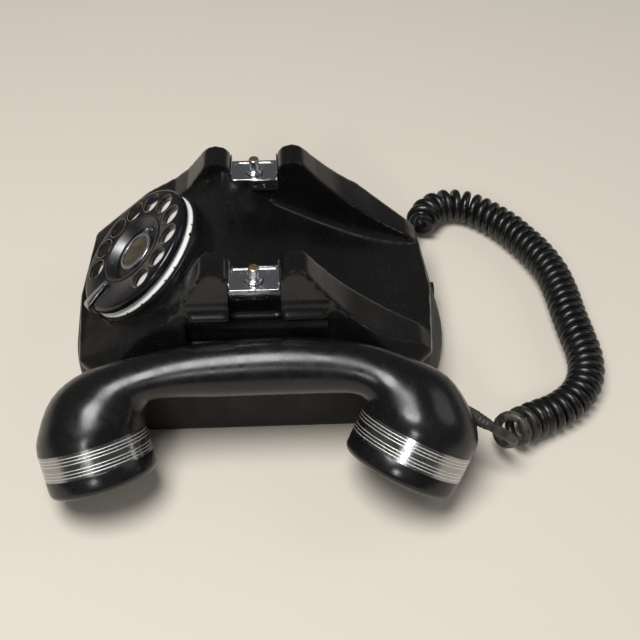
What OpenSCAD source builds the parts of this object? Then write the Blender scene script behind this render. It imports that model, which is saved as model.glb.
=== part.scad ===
// Moulded desk telephone with a rotary dial, a four-eared cradle and a corded handset.
// Millimetres. +Z up, +Y to the rear, +X to the user's right, dial facing -Y.
// The origin is the middle of the base pad's underside.

/* [Base] */
// Half width of the base
base_half_w = 70.5; // [66:0.5:76]
// Half length of the base
base_half_l = 113; // [109:0.5:118]
// Corner radius of the base
base_corner_r = 44; // [36:1:48]
// Thickness of the soft base pad
pad_h = 2; // [1.5:0.5:4]
// Thickness of the steel base plate
plate_h = 2.4; // [2:0.1:3]

/* [Housing] */
// Height of the sharp edge round the skirt
skirt_z = 44.5; // [43:0.5:47]
// How far the skirt's edge stands in from the base at each side
skirt_in = 2.5; // [1:0.5:4]
// Half width between the skirt's corners
corner_x = 52.3; // [48:0.1:56]
// How far the front corners stand in from the front of the base
front_in = 11.6; // [10:0.1:14]
// How far the rear corners stand in from the rear of the base
rear_in = 14.4; // [13:0.1:16]
// How far the front and rear edges bow out in the middle
edge_bow = 4.2; // [2:0.1:6]
// Chamfer of the skirt's corners, measured along the length
chamfer_y = 14.5; // [10:0.5:18]
// Moulded wall thickness
wall = 3.5; // [3:0.1:4]
// Slope of the dial face from the horizontal
dial_slope = 36.2; // [34:0.1:38]

/* [Cradle] */
// Top of the four ears
ear_top_z = 112; // [110:0.5:116]
// Radius of the arch on top of each ear
ear_r = 8.5; // [7:0.1:9]
// Distance of each ear's middle from the cradle's middle
ear_y = 22.3; // [21.8:0.1:24]
// Inner face of the fins and ears
fin_in = 36; // [34:0.5:38]
// Outer face of the fins and ears
fin_out = 52.3; // [50:0.1:54]
// Floor between the ears
notch_z = 98.5; // [97:0.5:100]
// Height where the finger grip under the ears begins
grip_low = 61; // [56:1:64]
// Height where the finger grip under the ears ends
grip_top = 81; // [78:1:84]
// Distance of the plungers from the middle
plunger_x = 44.6; // [43:0.1:46]
// Top of the plungers at rest
plunger_top = 108; // [106:0.5:110]
// Travel of the plungers
plunger_travel = 6; // [4:0.5:7]
// Radius of the plungers
plunger_r = 3; // [2.5:0.1:3.4]

/* [Dial] */
// Radius of the finger wheel
wheel_r = 40.8; // [39:0.1:41]
// Radius of the circle of finger holes
hole_circle_r = 31.4; // [30.5:0.1:32]
// Radius of one finger hole
hole_r = 6.2; // [5.5:0.1:6.6]
// Number of finger holes
holes = 10; // [10:1:10]
// Angle from one finger hole to the next
hole_step = 27.2; // [26:0.1:28]
// Angle of the first finger hole, from the right
first_hole = 18.2; // [12:0.1:24]
// Angle of the finger stop, from the right
stop_angle = -56; // [-60:1:-50]
// Outer radius of the number plate
number_plate_r = 41.1; // [40.8:0.1:42]
// How much steeper the dial stands than the face of the housing
dial_tip = 4.4; // [3:0.1:5]
// Height of the dial's seat over the face of the housing in its middle
dial_rise = 2.1; // [1.8:0.1:3]
// Teeth on the main gear
main_teeth = 60; // [48:4:60]
// Teeth on the pinion
pinion_teeth = 15; // [12:1:18]
// Tooth module of the dial gears
gear_module = 0.6; // [0.5:0.05:0.6]

/* [Handset] */
// Lean of the handset towards the housing
lean = 42; // [38:1:44]
// Turn of the handset about the vertical
turn = -1.6; // [-3:0.1:0]
// Tilt of the receiver
receiver_tilt = 15.5; // [12:0.5:20]
// Tilt of the transmitter
transmitter_tilt = 26; // [22:0.5:30]
// Place of the receiver along the handset
receiver_y = -87.5; // [-92:0.5:-85]
// Place of the transmitter along the handset
transmitter_y = 78.7; // [76:0.1:84]
// Radius of the receiver cap
receiver_r = 30; // [29:0.5:31]
// Radius of the transmitter cap
transmitter_r = 32.2; // [31:0.1:33]
// Height of the chrome bands
band_h = 14; // [12:0.5:15]
// Depth of the caps beyond the bands
cap_h = 11; // [9:0.5:12]
// Half height of the handle in its middle
handle_half_h = 15.5; // [14:0.5:16]
// Half width of the handle
handle_half_w = 14; // [12:0.5:15]

/* [Cord] */
// Outer diameter of the coiled cord
coil_d = 23; // [20:0.5:24]
// Diameter of the cord itself
cord_d = 5.6; // [5:0.1:6]

/* [Hidden] */

$fn = 64;
run_gap = 0.05;      // radial clearance of a running fit
seat_gap = 0.3;      // clearance between neighbours that don't touch
far = 300;           // longer than anything here, for cuts

// ---- base ----
shell_z = pad_h + plate_h;
plate_top = shell_z;
corner_cx = base_half_w - base_corner_r;
corner_cy = base_half_l - 51;
skirt_half_w = base_half_w - skirt_in;
front_corner_y = base_half_l - front_in;
rear_corner_y = base_half_l - rear_in;
end_reach = base_half_l - base_corner_r;
end_c = (pow(corner_cx, 2) + pow(corner_cy, 2) - pow(end_reach, 2)) / (2 * (corner_cy - end_reach));
end_r = base_half_l - end_c;
end_x = end_r * corner_cx / norm([corner_cx, corner_cy - end_c]);
screw_x = base_half_w - 10.5;
screw_y = corner_cy - 7;
screw_r = 1.9;
screw_head_r = 3.6;
screw_up = 18;

// ---- housing outlines, as [y, z] points ----
front_edge_z = skirt_z;
function slope_z(y) = front_edge_z + (y + front_corner_y) * tan(dial_slope);
dial_up = 38.2;       // dial's middle behind the front corners of the skirt
dial_y = dial_up - front_corner_y;
dial_z = slope_z(dial_y);
crest_y = dial_y + 45.9;
rear_slope = [
    [crest_y + 5.3, 100], [4, 86.5], [23, 74.5], [42, 64], [62, 54.5], [84, 47.5], [rear_corner_y, skirt_z]
];
fin_slope = [[36.5, 99], [43, 91.5], [50, 84], [59, 76], [76, 62.2], [92, 51.3], [rear_corner_y, skirt_z]];
ear_c = ear_top_z - ear_r;
ear_steps = 8;
ear_fade = 35;       // angle where an ear's arch runs into its fin
function arch(y, from, to) =
    [for (i = [0 : ear_steps]) let (a = from + (to - from) * i / ear_steps)
        [y + ear_r * cos(a), ear_c + ear_r * sin(a)]];
outline_low = 20;
outline_ends = 130;
centre_outline = concat(
    [[-outline_ends, outline_low], [-outline_ends, slope_z(-outline_ends)], [crest_y, slope_z(crest_y)]],
    rear_slope,
    [[outline_ends, skirt_z], [outline_ends, outline_low]]);
fin_front_y = dial_y + 14.7;
fin_outline = concat(
    [[-outline_ends, outline_low], [-outline_ends, slope_z(-outline_ends)],
     [fin_front_y, slope_z(fin_front_y)], [fin_front_y + 9, 92.6]],
    arch(-ear_y, 180 - ear_fade, 0),
    [[-ear_y + ear_r, notch_z], [ear_y - ear_r, notch_z]],
    arch(ear_y, 180, ear_fade),
    fin_slope,
    [[outline_ends, skirt_z], [outline_ends, outline_low]]);
roof_drop = wall + 2;
roof_front = crest_y - 8.2;
roof_z = notch_z - wall - 1;
roof_outline = concat(
    [[-front_corner_y + wall, 0], [-front_corner_y + wall, slope_z(-front_corner_y + wall) - roof_drop],
     [roof_front, min(roof_z, slope_z(roof_front) - roof_drop)], [crest_y + 7.3, roof_z]],
    [for (p = rear_slope) if (p[0] > 0) [p[0] - wall * p[0] / rear_corner_y, p[1] - roof_drop]],
    [[rear_corner_y - wall, 0]]);
grip_front = -38;
grip_rear = 40;
grip_x = fin_out + 2.2;
lip_x = 61;
lip_h = 4;
lip_rear_y = [ear_y - ear_r - 0.3, 39.5];
lip_front_y = [-37, -ear_y + ear_r];
inner_x = grip_x - wall - 0.5;

// ---- dial, measured from the face of the housing along its axis ----
case_flange_r = number_plate_r + 0.6;
case_r = case_flange_r - 4.8;
case_depth = 22;
case_wall = 1.5;
case_flange_h = 1.2;
dial_hole_r = case_r + seat_gap;
plate_low = case_flange_h;
plate_z = 4.4;
plate_t = 0.8;
plate_flat_r = number_plate_r - 6.4;
plate_hole_r = 22.5;
wheel_low = 7.2;
wheel_top = 9.7;
wheel_skirt = 3.4;    // lower edge of the finger wheel's turned-down rim
dish_r = 22.8;
dish_floor_r = 18.4;
dish_floor = wheel_top - 4.3;
dish_t = 1;
boss_r = case_flange_r + 0.4;
boss_h = 8;
shaft_r = 3;
dial_shaft_low = -case_depth - 1.2;
works_r = 36.2;      // radius of the case that the works are laid out for
works = case_r / works_r;
gear_low = -12;
gear_t = 2;
first_module = gear_module * works;
gear_r = main_teeth * first_module / 2;
pinion_r = pinion_teeth * first_module / 2;
pinion_d = gear_r + pinion_r;
second_teeth = 36;
governor_teeth = 12;
second_module = 0.5 * works;
second_r = second_teeth * second_module / 2;
governor_pinion_r = governor_teeth * second_module / 2;
governor_d = second_r + governor_pinion_r;
governor_turn = 20;
governor_pos = [governor_d * cos(governor_turn), pinion_d + governor_d * sin(governor_turn)];
spindle_r = 1.2;
bridge_z = -4;
bridge_t = 1.5;
bridge_bar = [3, 9];
bridge_end = 32;
bridge_hub_r = 8;
bridge_tab = [[-12.5, 26.5], [15, 30.5]];
bridge_posts = [[-6, -29.5], [6, -29.5], [-10.4, 28.7]];
bridge_post_r = 2;

// ---- cradle and hookswitch ----
guard_t = 1;
guard_in = fin_in - guard_t;
guard_out = fin_out + guard_t;
guard_y = ear_y - ear_r;
guard_rim = 5;
guard_skirt = 6.5;
guard_floor = notch_z + guard_t;
guard_inner_y = -2;
web_low = 87;        // where the wall between the ears' feet flares out again
bush_r = 4;
bush_flange_r = 4.9;
bush_flange_h = 1.6;
bush_low = 88;
plunger_low = 79;
yoke_gap = 0.3;
axle_y = 30;
axle_z = 58;
axle_r = 2;
yoke_bar_t = 2.7;
yoke_top = plunger_low - yoke_gap;
yoke_bar_y = [-9, 3];
yoke_reach = 48.5;
yoke_arm_x = 20;
yoke_hub_r = 4;
frame_x = 26;
frame_t = 2;
frame_out = frame_x + frame_t;
shelf_z = 46;
finger_low = 56.5;
leaf_top = finger_low - plunger_travel - 0.8;

// ---- ringer ----
gong_x = 28;
gong_y = base_half_l - 41;
gong_r = 22;
gong_low = 20;
gong_h = 12;
gong_t = 1.3;
post_r = 4;
post_gap = 0.15;
pivot_y = gong_y - 26;
pivot_z = 24;
armature = [pivot_y - 9.2, pivot_y - 6.8];
armature_half = [16, 4.5];
ball_r = 3.4;
ringer_half_w = 34;
ringer_front = gong_y - 32;
ringer_rear = gong_y + 18;
ringer_t = 1.6;
coil_front = gong_y - 28;
coil_rear = coil_front + 16;
coil_x = 11;
coil_r = 6.3;
coil_z = 12.5;

// ---- handset, measured in its own upright plane: [along, up] ----
rim_round = 4;
floor_gap = 0.1;
function rim_drop(tilt) = sqrt(1 - pow(cos(tilt) * cos(lean), 2));
function head_up(tilt, r) =
    ((r - rim_round) * rim_drop(tilt) + rim_round + floor_gap) / cos(lean) + (cap_h - rim_round) * cos(tilt);
handle_mid_up = 89.5;
lean_gap = 0.35;
side_x = skirt_half_w;
side_rise = (skirt_half_w - fin_out) / (ear_top_z + 1 - skirt_z);
side_angle = atan(side_rise);
handle_across = norm([handle_half_h * sin(lean - side_angle), handle_half_w * cos(lean - side_angle)]);
handle_reach = lean_gap + handle_across;
handle_z = handle_mid_up * cos(lean);
handset_x = side_x + (handle_reach - (handle_z - skirt_z) * sin(side_angle)) / cos(side_angle)
    + handle_mid_up * sin(lean);
cap_wall = 3.5;
capsule_h = 12;
relief_from = [107, 65.6];
relief_to = [124, 55.8];
relief_r = 4.4;
relief_len = norm(relief_to - relief_from);
relief_angle = atan2(relief_to[1] - relief_from[1], relief_to[0] - relief_from[0]);
// cross-sections of the shell: outer [along, up], inner [along, up], half width
handle_rings = [
    [-120, 52, -62, 65, 29],
    [-112, 73, -61, 69, 24.5],
    [-94, 87, -57, 72, 18.5],
    [-63, 96, -44, 73, 15],
    [-30, 102, -24, 73, handle_half_w],
    [15, handle_mid_up + handle_half_h, 15, handle_mid_up - handle_half_h, handle_half_w],
    [52, 102, 40, 74.5, 14.5],
    [80, 93.5, 50, 74.3, 17],
    [101, 83, 55, 72.5, 23],
    [114, 64, 56, 70, 29.5],
    [117.5, 49, 56, 68, 32]
];
shell_steps = 3;
shell_sides = 24;

// ---- cord ----
gland_at = [-62, base_half_l - 22, 17];
gland_angle = 134;
gland_r = 5.5;
lead_gap = 0.2;
lead_straight = 1.5;
lead_bend = 10;
lead_steps = 12;
gland_low = -9;
gland_high = 9;
// the coil's middle line, from the housing round to the handset
coil_route = [
    [-85, 108, 14], [-97, 113, 12], [-104, 121, 11.8], [-106, 131, 11.8], [-103.8, 141.5, 11.8],
    [-96, 153, 11.8], [-83.5, 165.5, 11.8], [-69.5, 175, 11.8], [-55, 183, 11.8], [-39, 189, 11.8],
    [-20, 192, 11.8], [-2, 193.2, 11.8], [15.5, 195, 11.8], [31, 196.3, 11.8], [44.5, 195, 11.8],
    [56, 190.5, 11.8], [65, 183.5, 11.8], [71.5, 175, 11.8], [75.8, 166.5, 11.8], [79.5, 158, 12.5],
    [86.4, 147.2, 15.5], [94.9, 136.7, 21]
];
coil_steps = 3;
coil_sides = 12;
lead_sides = 8;

// ---------------------------------------------------------------- helpers

module mirror_x() {
    children();
    mirror([1, 0, 0]) children();
}

module tube(r_out, r_in, low, high) {
    translate([0, 0, low]) linear_extrude(high - low) difference() {
        circle(r = r_out);
        circle(r = r_in);
    }
}

module rod(r, low, high) {
    translate([0, 0, low]) cylinder(r = r, h = high - low);
}

// a box from its low corner to its high corner
module block(low, high) {
    translate(low) cube(high - low);
}

module on_dial() {
    translate([0, dial_y, dial_z]) rotate([dial_slope + dial_tip, 0, 0])
        translate([0, 0, dial_rise]) children();
}

// the outline of the base, shrunk by an inset
module base_outline(inset = 0) {
    r = base_corner_r - inset;
    mirror_x() for (s = [1, -1]) translate([corner_cx, s * corner_cy]) circle(r = r);
    square([2 * (base_half_w - inset), 2 * corner_cy], center = true);
    for (s = [0, 1]) mirror([0, s]) intersection() {
        translate([0, end_c]) circle(r = end_r - inset);
        translate([-end_x, 0]) square([2 * end_x, far]);
    }
}

// the sharp eight-sided edge of the skirt, shrunk by an inset
module skirt_outline(inset = 0) {
    half = [
        [0, -front_corner_y - edge_bow + inset],
        [corner_x - inset / 2, -front_corner_y + inset],
        [skirt_half_w - inset, -front_corner_y + chamfer_y + inset / 2],
        [skirt_half_w - inset, rear_corner_y - chamfer_y - inset / 2],
        [corner_x - inset / 2, rear_corner_y - inset],
        [0, rear_corner_y + edge_bow - inset]
    ];
    polygon(concat(half, [for (i = [4 : -1 : 1]) [-half[i][0], half[i][1]]]));
}

// a [y, z] outline drawn out along X between two places
module along_x(outline, from, to) {
    translate([from, 0, 0]) rotate([90, 0, 90]) linear_extrude(to - from) polygon(outline);
}

// a spur gear with plain flanks, centred on a tooth gap at an angle
module gear(teeth, pitch_module, low, high, gap_at = 0) {
    r = teeth * pitch_module / 2;
    root = r - 0.75 * pitch_module;
    tip = r + 0.55 * pitch_module;
    width = pitch_module * PI;
    translate([0, 0, low]) linear_extrude(high - low) {
        circle(r = root);
        for (i = [0 : teeth - 1]) rotate(gap_at + (i + 0.5) * 360 / teeth)
            polygon([[root - 0.3, -0.24 * width], [r, -0.2 * width], [tip, -0.1 * width],
                     [tip, 0.1 * width], [r, 0.2 * width], [root - 0.3, 0.24 * width]]);
    }
}

// ---------------------------------------------------------------- housing

module skirt_solid(inset, low, high) {
    hull() {
        translate([0, 0, high - 0.5]) linear_extrude(0.5) skirt_outline(inset);
        translate([0, 0, low]) linear_extrude(5) base_outline(inset);
    }
}

module upper_solid(inset) {
    hull() {
        translate([0, 0, skirt_z - 0.5 - inset]) linear_extrude(0.5) skirt_outline(inset);
        translate([-fin_out + inset, -ear_y - ear_r + inset, ear_top_z + 1])
            cube([2 * (fin_out - inset), 2 * (ear_y + ear_r - inset), 0.1]);
    }
}

module housing_outer() {
    skirt_solid(0, shell_z, skirt_z);
    intersection() {
        upper_solid(0);
        union() {
            along_x(centre_outline, -fin_in, fin_in);
            mirror_x() along_x(fin_outline, fin_in, far / 2);
        }
    }
    mirror_x() for (y = [lip_front_y, lip_rear_y])
        block([grip_x - 1, y[0], grip_top], [lip_x, y[1], grip_top + lip_h]);
}

module housing_inner() {
    difference() {
        union() {
            skirt_solid(wall, shell_z - 1, skirt_z - wall);
            intersection() {
                upper_solid(wall);
                along_x(roof_outline, -far / 2, far / 2);
            }
        }
        mirror_x() block([inner_x, grip_front - wall, grip_low - wall - 1], [far, grip_rear + wall, far]);
        mirror_x() for (s = [1, -1]) screw_boss(s * screw_y);
    }
}

module screw_boss(y) {
    translate([screw_x, y, 0]) cylinder(r = 5.5, h = skirt_z - 6);
    block([screw_x, y - 3, 0], [skirt_half_w, y + 3, skirt_z - 6]);
}

module housing() {
    color([0.04, 0.04, 0.045]) difference() {
        union() {
            housing_outer();
            on_dial() rod(boss_r, -boss_h, 0);
        }
        housing_inner();
        on_dial() rod(boss_r, 0, boss_h);
        mirror_x() block([grip_x, grip_front, grip_low], [far, grip_rear, grip_top]);
        mirror_x() block([fin_out, -guard_y, web_low], [far, guard_y, far]);
        on_dial() rod(dial_hole_r, -14, 1);
        on_dial() dial_screw_places() rod(screw_r - 0.6, -3.2, 1);
        mirror_x() translate([plunger_x, 0, 0]) rod(bush_r, bush_low - 12, notch_z + 1);
        mirror_x() for (s = [1, -1]) translate([screw_x, s * screw_y, 0]) rod(screw_r, 0, screw_up);
        at_gland() rod(gland_r + run_gap, gland_low, gland_high);
        at_inlet() rod(inlet_r + run_gap, -inlet_len, inlet_len);
    }
}

module base_plate() {
    color([0.05, 0.05, 0.05]) translate([0, 0, pad_h]) linear_extrude(plate_h) difference() {
        base_outline(0.4);
        screw_places() circle(r = screw_r + run_gap);
    }
}

module base_pad() {
    color([0.12, 0.1, 0.09]) linear_extrude(pad_h) difference() {
        base_outline(1.5);
        screw_places() circle(r = screw_head_r + seat_gap);
    }
}

module screw_places() {
    mirror_x() for (s = [1, -1]) translate([screw_x, s * screw_y]) children();
}

module housing_screws() {
    color([0.5, 0.5, 0.5]) screw_places() difference() {
        union() {
            rod(screw_head_r, pad_h - 1.4, pad_h);
            rod(screw_r, pad_h - 1, screw_up);
        }
        translate([0, 0, pad_h - 1.1]) cube([2 * screw_head_r + 1, 0.8, 0.8], center = true);
    }
}

module at_gland() {
    translate(gland_at) rotate([0, 90, gland_angle]) children();
}

module cord_gland() {
    color([0.05, 0.05, 0.05]) at_gland() {
        difference() {
            rod(gland_r, gland_low, gland_high);
            rod(cord_d / 2 + 0.4, gland_low - 1, gland_high - 2);
        }
    }
}

inlet_r = 6;
inlet_len = 5;
inlet_at = [-20, base_half_l - 8.5, 17];
inlet_bore = 3;

module at_inlet() {
    translate(inlet_at) rotate([-90, 0, 0]) children();
}

module line_inlet() {
    color([0.06, 0.06, 0.06]) at_inlet() tube(inlet_r, inlet_bore, -inlet_len, inlet_len);
}

// ---------------------------------------------------------------- cradle

module guard() {
    color([0.8, 0.8, 0.82]) difference() {
        block([fin_in, -guard_y, notch_z], [guard_out, guard_y, guard_floor + guard_rim]);
        block([fin_in - 1, -guard_y + guard_t, guard_floor],
              [guard_out + 1, guard_y - guard_t, guard_floor + guard_rim + 1]);
        translate([plunger_x, 0, 0]) rod(bush_r, notch_z - 1, guard_floor + 1);
    }
    color([0.8, 0.8, 0.82]) {
        block([guard_in, guard_inner_y, notch_z - guard_skirt], [fin_in, guard_y, guard_floor]);
        block([fin_out, -guard_y, notch_z - guard_skirt], [guard_out, guard_y, notch_z]);
    }
}

module collar() {
    color([0.8, 0.8, 0.82]) translate([plunger_x, 0, 0]) difference() {
        union() {
            rod(bush_r, bush_low, guard_floor);
            rod(bush_flange_r, guard_floor, guard_floor + bush_flange_h);
        }
        rod(plunger_r + run_gap, bush_low - 1, far);
    }
}

module plunger() {
    color([0.78, 0.72, 0.55]) translate([plunger_x, 0, 0]) {
        rod(plunger_r, plunger_low, plunger_top);
        rod(plunger_r + 1, plunger_low, plunger_low + 1.2);
    }
}

module hook_frame() {
    color([0.55, 0.55, 0.5]) difference() {
        union() {
            block([-frame_out, axle_y - 8, plate_top], [frame_out, axle_y + 8, plate_top + frame_t]);
            block([-frame_out, axle_y - 8, shelf_z - frame_t], [frame_out, axle_y + 4, shelf_z]);
            mirror_x() block([frame_x, axle_y - 8, plate_top], [frame_out, axle_y + 4, axle_z + 3.4]);
        }
        translate([0, axle_y, axle_z]) rotate([0, 90, 0]) rod(axle_r, -far / 2, far / 2);
    }
}

module hook_axle() {
    color([0.6, 0.6, 0.6]) translate([0, axle_y, axle_z]) rotate([0, 90, 0])
        rod(axle_r, -frame_out - 1, frame_out + 1);
}

module hook_yoke() {
    arm = [[0, axle_z - 3.5], [3.5, axle_z], [axle_y - yoke_bar_y[1], yoke_top], [axle_y - yoke_bar_y[1] + 6,
        yoke_top - yoke_bar_t], [6, axle_z - 3]];
    color([0.6, 0.58, 0.5]) difference() {
        union() {
            block([-yoke_reach, yoke_bar_y[0], yoke_top - yoke_bar_t], [yoke_reach, yoke_bar_y[1], yoke_top]);
            mirror_x() translate([yoke_arm_x, axle_y, 0]) rotate([90, 0, -90]) linear_extrude(2) polygon(arm);
            mirror_x() translate([0, axle_y, axle_z]) rotate([0, 90, 0])
                rod(yoke_hub_r, yoke_arm_x - 4, yoke_arm_x + 2);
            block([-2, -4, finger_low], [2, -1, yoke_top - 1]);
        }
        translate([0, axle_y, axle_z]) rotate([0, 90, 0]) rod(axle_r + run_gap, -far / 2, far / 2);
    }
}

module contact_pile() {
    leaf_t = 0.4;
    color([0.7, 0.6, 0.35]) {
        block([-7, axle_y - 7, shelf_z], [7, axle_y + 1, leaf_top - leaf_t]);
        for (x = [-3.5, 3.5])
            block([x - 2.2, -5, leaf_top - leaf_t], [x + 2.2, axle_y + 1, leaf_top]);
        block([-7, axle_y - 7, leaf_top], [7, axle_y + 1, leaf_top + 1.6]);
    }
}

// ---------------------------------------------------------------- dial

module dial_screw_places() {
    for (a = [90, 210, 330]) rotate(a) translate([(case_r + case_flange_r) / 2 + 0.1, 0, 0]) children();
}

module dial_case() {
    color([0.08, 0.08, 0.08]) on_dial() difference() {
        union() {
            tube(case_r, case_r - case_wall, -case_depth, case_flange_h);
            rod(case_r, -case_depth, -case_depth + case_wall);
            tube(case_flange_r, case_r - case_wall, 0, case_flange_h);
        }
        rod(shaft_r + run_gap, -case_depth - 1, 0);
        dial_screw_places() rod(screw_r - 0.6, -1, case_flange_h + 1);
    }
}

module dial_screws() {
    color([0.5, 0.5, 0.5]) on_dial() dial_screw_places() {
        rod(screw_r - 0.6, -3.2, case_flange_h);
        rod(screw_r - 0.3, case_flange_h, case_flange_h + 0.6);
    }
}

module number_plate() {
    color([0.93, 0.93, 0.9]) on_dial() difference() {
        rotate_extrude() polygon([
            [plate_hole_r, plate_z], [plate_flat_r, plate_z], [number_plate_r - plate_t, plate_low],
            [number_plate_r, plate_low], [number_plate_r, plate_low + plate_t],
            [plate_flat_r + 0.5, plate_z + plate_t], [plate_hole_r, plate_z + plate_t]
        ]);
        dial_screw_places() rod(screw_r, 0, 2.4);
    }
}

stop_leg = case_flange_r + 0.8;
stop_foot = 4.5;
stop_t = 1.2;
stop_w = 8;
stop_tip = 23.5;
stop_arm_z = wheel_top + 0.9;
stop_low = -dial_rise - (stop_leg + stop_foot) * sin(stop_angle) * tan(dial_tip);

module finger_stop() {
    color([0.82, 0.82, 0.84]) on_dial() rotate(stop_angle) {
        block([stop_tip, -stop_w / 2, stop_arm_z], [stop_leg + stop_t, stop_w / 2, stop_arm_z + stop_t]);
        block([stop_leg, -stop_w / 2, stop_low], [stop_leg + stop_t, stop_w / 2, stop_arm_z + stop_t]);
        block([stop_leg, -stop_w / 2, stop_low], [stop_leg + stop_foot, stop_w / 2, stop_low + stop_t]);
    }
}

card_r = 11;
card_t = 0.4;
window_t = 0.8;
clip_r = 12.4;
ring_t = 0.8;

module finger_wheel() {
    color([0.03, 0.03, 0.03]) on_dial() difference() {
        rotate_extrude() polygon([
            [0, dish_floor - dish_t], [dish_floor_r + 0.9, dish_floor - dish_t], [dish_r + 0.6, wheel_low],
            [wheel_r - 1.2, wheel_low], [wheel_r - 1.2, wheel_skirt], [wheel_r, wheel_skirt],
            [wheel_r, wheel_top],
            [dish_r, wheel_top], [dish_floor_r, dish_floor], [0, dish_floor]
        ]);
        for (i = [0 : holes - 1]) rotate(first_hole + i * hole_step) translate([hole_circle_r, 0, 0])
            rod(hole_r, wheel_low - 3, wheel_top + 1);
    }
}

// the plated ring that lines the dished middle of the finger wheel
module center_ring() {
    color([0.8, 0.8, 0.82]) on_dial() rotate_extrude() polygon([
        [dish_r, wheel_top], [dish_r + 0.6, wheel_top], [dish_r + 0.6, wheel_top + ring_t / 2],
        [dish_r - ring_t, wheel_top + ring_t / 2], [dish_floor_r - ring_t, dish_floor + ring_t / 2],
        [dish_floor_r - ring_t, dish_floor], [dish_floor_r, dish_floor]
    ]);
}

module number_card() {
    color([0.4, 0.3, 0.2]) on_dial() rod(card_r, dish_floor, dish_floor + card_t);
}

module card_window() {
    color([0.8, 0.85, 0.85, 0.35]) on_dial() rod(card_r, dish_floor + card_t, dish_floor + card_t + window_t);
}

tongue_angle = 150;
tongue_w = 7.5;
tongue_end = sqrt(pow(dish_floor_r - ring_t, 2) - pow(tongue_w / 2, 2)) - run_gap;
clip_top = dish_floor + card_t + window_t;

module card_clip() {
    color([0.75, 0.72, 0.65]) on_dial() {
        tube(clip_r, card_r + run_gap, dish_floor, clip_top);
        tube(clip_r, card_r - 0.8, clip_top, clip_top + 0.6);
        rotate(tongue_angle) difference() {
            block([card_r, -tongue_w / 2, dish_floor], [tongue_end, tongue_w / 2, dish_floor + 1]);
            rod(clip_r - 0.5, 0, far);
        }
    }
}

module dial_shaft() {
    color([0.65, 0.65, 0.65]) on_dial() difference() {
        rod(shaft_r, dial_shaft_low, dish_floor - dish_t);
        translate([0, 0, dial_shaft_low]) cube([7, 0.8, 1.2], center = true);
    }
}

module main_gear() {
    color([0.75, 0.6, 0.3]) on_dial() difference() {
        gear(main_teeth, first_module, gear_low, gear_low + gear_t, 90);
        rod(shaft_r, -far, far);
    }
}

module pulse_cam() {
    lobes = 10;
    color([0.75, 0.6, 0.3]) on_dial() difference() {
        translate([0, 0, -16]) linear_extrude(1.6) {
            circle(r = 8);
            for (i = [0 : lobes - 1]) rotate(i * 360 / lobes + 12)
                polygon([[7, -1.5], [9.6, -0.7], [9.6, 0.7], [7, 1.5]]);
        }
        rod(shaft_r, -far, far);
    }
}

module dial_frame() {
    color([0.6, 0.6, 0.58]) on_dial() difference() {
        union() {
            rod(bridge_hub_r, bridge_z, bridge_z + bridge_t);
            mirror_x() block([bridge_bar[0] * works, -bridge_end * works, bridge_z],
                [bridge_bar[1] * works, bridge_end * works, bridge_z + bridge_t]);
            block([bridge_tab[0][0] * works, bridge_tab[0][1] * works, bridge_z],
                [bridge_tab[1][0] * works, bridge_tab[1][1] * works, bridge_z + bridge_t]);
            for (p = bridge_posts) translate([p[0] * works, p[1] * works, 0])
                rod(bridge_post_r, -case_depth + case_wall, bridge_z);
        }
        rod(shaft_r + run_gap, -far, far);
        translate([0, pinion_d, 0]) rod(spindle_r + run_gap, -far, far);
        translate([governor_pos[0], governor_pos[1], 0]) rod(spindle_r + run_gap, -far, far);
    }
}

module dial_spring() {
    color([0.35, 0.37, 0.4]) on_dial()
        tube(9, shaft_r + seat_gap, -case_depth + case_wall, -17.4);
}

module pinion() {
    color([0.75, 0.6, 0.3]) on_dial() translate([0, pinion_d, 0]) {
        rod(spindle_r, -case_depth + case_wall + 0.1, bridge_z + bridge_t + 0.6);
        gear(pinion_teeth, first_module, gear_low - 0.4, gear_low + gear_t + 0.4, 270 - 180 / pinion_teeth);
        gear(second_teeth, second_module, -8.6, -7.2, governor_turn);
        rod(2, -9.4, -8.6);
    }
}

module governor() {
    color([0.6, 0.5, 0.35]) on_dial() translate([governor_pos[0], governor_pos[1], 0]) {
        rod(spindle_r, -case_depth + case_wall + 0.1, bridge_z + bridge_t + 0.6);
        gear(governor_teeth, second_module, -9, -6.8, governor_turn + 180 - 180 / governor_teeth);
        rod(1.8, -19, -17.5);
        for (s = [0, 180]) rotate(s) block([1, -1.6, -19], [4.6, 1.6, -14]);
        rod(4.6, -19.4, -19);
    }
}

pulse_x = -22;
pulse_low = -17;
pulse_block = [6, 2, 10];
pulse_leaf_t = 0.6;
pulse_leaf_half = 9;
pulse_leaf_h = 2;
pulse_pitch = 9.6;

module pulse_springs() {
    color([0.75, 0.65, 0.35]) on_dial() {
        block([pulse_x - pulse_block[0], -pulse_block[2], -case_depth + case_wall],
            [pulse_x + pulse_block[1], pulse_block[2], pulse_low]);
        for (i = [0, 1])
            translate([pulse_x + i * pulse_pitch, -pulse_leaf_half, pulse_low + 0.4 + i * pulse_leaf_t])
                cube([pulse_leaf_t, 2 * pulse_leaf_half, pulse_leaf_h - i * pulse_leaf_t]);
        block([pulse_x, -pulse_leaf_half, pulse_low],
            [pulse_x + pulse_pitch + pulse_leaf_t, 4 - pulse_leaf_half, pulse_low + 0.5]);
    }
}

// ---------------------------------------------------------------- ringer

module ringer_frame() {
    color([0.6, 0.6, 0.55]) difference() {
        union() {
            block([-ringer_half_w, ringer_front, plate_top],
                [ringer_half_w, ringer_rear, plate_top + ringer_t]);
            mirror_x() translate([gong_x, gong_y, 0])
                rod(post_r, plate_top, gong_low + gong_h - gong_t - post_gap);
            translate([0, pivot_y, 0]) rod(3, plate_top, pivot_z - 4.6);
            translate([0, pivot_y, 0]) rod(1.2, plate_top, pivot_z + 2.4);
        }
        mirror_x() translate([gong_x, gong_y, 0]) rod(1.5, gong_low, far);
    }
}

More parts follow.
